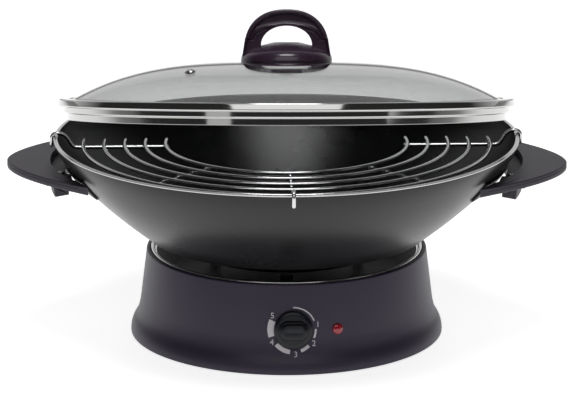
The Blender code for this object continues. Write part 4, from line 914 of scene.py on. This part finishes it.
# %% Weld beads
def bead(x, y, z, size=(2.0, 2.0, 1.1)):
    """A small ellipsoid: centre + size (sin p cos a, sin p sin a, cos p)."""
    polar = np.linspace(0, np.pi, 8)[:, None]
    turn = np.linspace(0, 2 * np.pi, 14, endpoint=False)
    ball = np.stack([np.sin(polar) * np.cos(turn), np.sin(polar) * np.sin(turn),
                     np.cos(polar) + 0 * turn], -1)
    return place(ball * np.array(size) + [x, y, z], RACK), False, True, False


beads = []
for radius in arc_radii:
    for way in (-1, 1):
        beads.append(bead(way * np.sqrt(radius ** 2 - 4), 2, WELD_Z))
        side_x = way * radius * np.cos(radians(CROSS_BEARING))
        beads.append(bead(side_x, -radius * np.sin(radians(CROSS_BEARING)), WELD_Z))
    beads.append(bead(0, -radius, WELD_Z))
add_piece("weld_beads", beads, "rack", chrome)

# %% [markdown]
# ## The lid
# A rolled steel band holds the edge of a glass dome, and its skirt dips into the wok. The glass
# is nearly flat in the middle and steep at the edge. Both are turned profiles in the lid's own
# frame, which leans back by twelve degrees with its front edge raised.

# %% Lid band
band = rounded([(167, 6), (174.9, 6), (175.5, 5.4), (176.3, 0.9), (175.6, 0), (171.9, -0.1),
                (172.0, -4.6), (169.1, -5.0), (169.2, -10.2), (168.2, -10.2), (168.1, -4.4),
                (170.9, -3.8), (170.8, -1), (168, -1), (168, 0.7), (173.8, 0.7), (173.8, 5),
                (167, 5)],
               [0.3, 0.5, 0.5, 0.6, 0.5, 0.3, 0.9, 0.5, 0.4, 0.4, 0.6, 0.8, 0.4, 0.4, 0.2, 0.2,
                0.2, 0.3], 6, closed=True)
add_piece("lid_band", [ring_grid(band, 256, LID)], "lid", ring_steel, ["lid_ring"])


# %% Glass dome and eyelet
DOME_RADIUS, DOME_EDGE, DOME_RISE, DOME_POWER = 166, 4.7, 29.6, 3.2
VENT_X, VENT_Y, VENT_BORE = -72, -77, 3.5


def dome(radius):
    """Top of the glass above the band's underside: 4.7 + 29.6 (1 - (r/166)^3.2)."""
    return DOME_EDGE + DOME_RISE * (1 - (np.asarray(radius, float) / DOME_RADIUS) ** DOME_POWER)


def glass_profile(thick=3.7):
    radius = np.concatenate([[3.5], DOME_RADIUS * np.linspace(0.05, 1, 60) ** 0.8])
    top = np.stack([radius, dome(radius)], -1)
    along = np.gradient(top, axis=0)
    along /= np.linalg.norm(along, axis=1, keepdims=True)
    under = top + thick * np.stack([along[:, 1], -along[:, 0]], -1)
    under[:, 0] = np.maximum(under[:, 0], 3.5)
    keep = under[:, 1] > 1.6
    edge = rounded([top[-1], (173.4, 4.65), (173.4, 1.0), (163.5, 1.0), under[keep][-1]],
                   [0, 1.2, 1.2, 1.5, 0], 6)
    return np.vstack([top[:-1], edge, under[keep][:-1][::-1]])


vent_radius = np.hypot(VENT_X, VENT_Y)
slope = DOME_RISE * DOME_POWER / DOME_RADIUS * (vent_radius / DOME_RADIUS) ** (DOME_POWER - 1)
square = Vector((VENT_X / vent_radius * slope, VENT_Y / vent_radius * slope, 1)).normalized()
VENT = (LID @ Matrix.Translation((VENT_X, VENT_Y, float(dome(vent_radius))))
        @ Vector((0, 0, 1)).rotation_difference(square).to_matrix().to_4x4())
glass = add_piece("glass_dome", [ring_grid(glass_profile(), 192, LID)], "lid", lid_glass,
                  ["lid_glass"])
carve(glass, [cutter([disc_grid([(0, 4), (VENT_BORE, 4), (VENT_BORE, -8), (0, -8)], 48,
                                VENT)])])
eyelet = rounded([(2.0, 1.4), (3.4, 1.4), (4.5, 0.3), (3.2, 0.3), (3.2, -4.3), (4.5, -4.3),
                  (3.4, -5.4), (2.0, -5.4)], [0.5, 0.6, 0.1, 0.1, 0.1, 0.1, 0.5, 0.5], 5,
                 closed=True)
add_piece("steam_eyelet", [ring_grid(eyelet, 40, VENT)], "lid", small_steel, ["vent_eyelet"])

# %% [markdown]
# ## The lid's knob
# A round foot carries a hand-wide arch with a crest laid over it. Foot and screw are turned.
# Arch and crest are bands: two matching curves, one inside the other, with a section between
# them whose front face is dished, so that a bright ridge runs along each arch as in the photo.

# %% Curves of the arch
KNOB_FOOT = 34.6  # height of the foot on the dome
KNOB = LID @ Matrix.Translation((0, 0, KNOB_FOOT))


def superellipse(half, rise, power, share):
    """From the side (0) to the top (1): half cos^(2/p), rise sin^(2/p) of a quarter turn."""
    angle = share * np.pi / 2
    return np.stack([half * np.cos(angle) ** (2 / power), rise * np.sin(angle) ** (2 / power)],
                    -1)


def arch_side(half, top, low, count, power=2.3, centre=8.0):
    """The right side of an arch, from the height low up to the top."""
    start = np.arcsin(min((low - centre) / (top - centre), 1) ** (power / 2)) / (np.pi / 2)
    side = superellipse(half, top - centre, power, np.linspace(start, 1, count))
    return side + [0, centre]


def both_sides(right):
    """A whole curve from its right half, which ends on the middle."""
    return np.vstack([right, (right * [-1, 1])[-2::-1]])


def band_grid(inner, outer, half_depth, edge, ridge=None, dish=0.0, count=26):
    """A band between two curves.

    The section runs from q = 0 on the inner curve to 1 on the outer. Its half depth is full
    less a rounding of radius e at both edges, less a dish that vanishes on the ridge line:
    dish (1 - exp(-(distance to ridge) / 0.9)).
    """
    q = (1 - np.cos(np.linspace(0, np.pi, count))) / 2
    thick = np.linalg.norm(outer - inner, axis=1)[:, None]
    near = np.minimum(q, 1 - q) * thick
    depth = half_depth - edge + np.sqrt(np.clip(edge ** 2 - np.clip(edge - near, 0, edge) ** 2,
                                                0, None))
    if ridge is not None:
        away = abs(q - ridge[:, None]) * thick
        calm = smooth_step(near / edge - 0.2)
        depth = depth - dish * calm * (1 - np.exp(-away / 0.9))
    xz = inner[:, None] + (outer - inner)[:, None] * q[:, None]
    front = np.stack([xz[..., 0], -depth, xz[..., 1]], -1)
    back = np.stack([xz[..., 0], depth, xz[..., 1]], -1)[:, ::-1]
    return place(np.concatenate([front, back], 1), KNOB)


# %% Foot, arch and crest
foot = rounded([(0, 14.5), (9.2, 14.5), (13.1, 13.6), (22.3, 11.2), (31.5, 7.6), (34.7, 4.3),
                (35.4, 0.4), (35.0, -0.42), (33.0, -0.2), (2.5, 0.0), (2.5, 9.0), (0, 9.0)],
               [0, 2, 3, 6, 4, 2.5, 0.5, 0.3, 0.5, 0.1, 0.1, 0], 8)
leg = np.linspace(0, 1, 9)[:, None]
outer = np.vstack([(34.0, 4.0) + leg * np.array([-2.1, 13.4]),
                   arch_side(29.27, 36.37, 17.47, 30)])
window = np.vstack([(19.6, 4.0) + leg * np.array([0, 8.0]),
                    superellipse(19.6, 15.0, 2.05, np.linspace(0, 1, 30)) + [0, 12.0]])
outer, window = both_sides(outer), both_sides(window)
climb = np.abs(np.linspace(-1, 1, len(outer)))
ridge = 0.10 + 0.80 * smooth_step((climb - 0.1) / 0.75)
arch = band_grid(window, outer, 11.0, 1.0, ridge, 2.0, 40)
add_piece("knob_arch", [disc_grid(foot, 96, KNOB), capped(arch)], "lid", lid_plastic,
          ["lid_knob"], sharp=40)
crest = band_grid(both_sides(arch_side(29.3, 36.4, 17.5, 34)),
                  both_sides(arch_side(32.6, 39.7, 17.5, 34)), 12.5, 1.4, count=14)
add_piece("knob_crest", [capped(crest)], "lid", lid_plastic, ["knob_cover"],
          sharp=40)

# %% Washer and screw under the glass
washer = rounded([(2.5, 30.3), (12, 30.3), (12, 28.8), (2.5, 28.8)], 0.3, 4, closed=True)
add_piece("seal_washer", [ring_grid(washer, 64, LID)], "lid", rubber, ["knob_washer"])
at = LID @ Matrix.Translation((0, 0, 28.5)) @ Matrix.Rotation(radians(180), 4, "X")
fixing = screw_grid(5.0, 2.2, (3.0, 0.6, 0.9), 2.2, 14.5)
add_piece("fixing_screw", [(place(fixing, at), False, True, False)], "lid", small_steel,
          ["knob_screw"], sharp=40)

# %% [markdown]
# ## Studio
# The object stands on a pale floor that runs past the frame and glows faintly near the object.
# Soft lights in front, at the sides and above give soft highlights, and the dark room between
# them is what polished steel needs to show its black and white bands.

# %% Floor, lights and camera
GLOW, GLOW_FULL, GLOW_END = 0.76, 1.3, 2.2  # strength, and radii in metres
FLOOR_HALF = 5000


def floor_finish():
    finish = Finish("studio_floor", Roughness=0.6, IOR=1.3)
    slow = finish.noise(900, 2)
    finish.set("Base Color", finish.mix(slow, (0.90, 0.90, 0.90), (0.93, 0.93, 0.93)))
    finish.set("Emission Color", (1, 1, 1))
    x, y, _ = finish.split(finish.place())
    far = ((x * x + y * y) ** 0.5).between(GLOW_FULL, GLOW_END)
    finish.set("Emission Strength", GLOW - far * 0.72)
    return finish.material


corners = FLOOR_HALF * np.array([(-1, -1, 0), (1, -1, 0), (-1, 1, 0), (1, 1, 0)], float)
floor = bpy.data.meshes.new("studio_floor")
floor.from_pydata((corners * MM).tolist(), [], [(0, 1, 3, 2)])
floor.materials.append(floor_finish())
floor_object = bpy.data.objects.new("studio_floor", floor)
bpy.context.scene.collection.objects.link(floor_object)
floor_object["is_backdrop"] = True


def soft_light(name, at, size, power, target=(0, 0, 0.1)):
    lamp = bpy.data.lights.new(name, "AREA")
    lamp.shape, lamp.size, lamp.size_y, lamp.energy = "RECTANGLE", size[0], size[1], power
    lamp_object = bpy.data.objects.new(name, lamp)
    bpy.context.scene.collection.objects.link(lamp_object)
    lamp_object.location = at
    way = Vector(target) - Vector(at)
    lamp_object.rotation_euler = way.to_track_quat("-Z", "Y").to_euler()


soft_light("front", (0, -1.6, 1.5), (2.0, 1.1), 8)
soft_light("left", (-1.15, -1.75, 0.42), (0.45, 0.30), 0.25)
soft_light("right", (1.75, -1.0, 0.42), (0.7, 0.30), 0.35)
soft_light("top", (0, -0.35, 2.0), (0.75, 0.7), 13)


# %% A bright back wall and a dark room behind the camera
def studio_world():
    """Light from the rear half of the room: y of the direction, from dark ahead to pale behind."""
    world = bpy.data.worlds.new("studio")
    world.use_nodes = True
    tree = world.node_tree
    way = tree.nodes.new("ShaderNodeTexCoord")
    parts = tree.nodes.new("ShaderNodeSeparateXYZ")
    tree.links.new(way.outputs["Generated"], parts.inputs[0])
    level = Wave(tree, parts.outputs["Y"]).between(0.30, 0.75) * 0.64 + 0.03
    join(tree, tree.nodes["Background"].inputs["Strength"], level)
    tree.nodes["Background"].inputs["Color"].default_value = (1.0, 1.0, 1.0, 1)
    return world


bpy.context.scene.world = studio_world()
bpy.context.scene.view_settings.view_transform = "Standard"

PICTURE_WIDTH = 573  # pixels
camera = bpy.data.cameras.new("camera")
camera.lens, camera.sensor_width, camera.clip_end = 198.8, 36, 50
camera.shift_y = 2.57 / PICTURE_WIDTH  # the photograph is cropped a little low
camera_object = bpy.data.objects.new("camera", camera)
bpy.context.scene.collection.objects.link(camera_object)
camera_object.location = (0, -2.378, 0.7547)
look = Vector((0, 0, 0.100)) - Vector(camera_object.location)
camera_object.rotation_euler = look.to_track_quat("-Z", "Y").to_euler()
bpy.context.scene.camera = camera_object

visual_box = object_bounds()
sizes = {"cad": [list(map(float, corner)) for corner in cad_box],
         "visual": [list(map(float, corner)) for corner in visual_box]}
for name, (low, high) in sizes.items():
    print(name, "box in mm:", [round((b - a) * 1000, 1) for a, b in zip(low, high)])
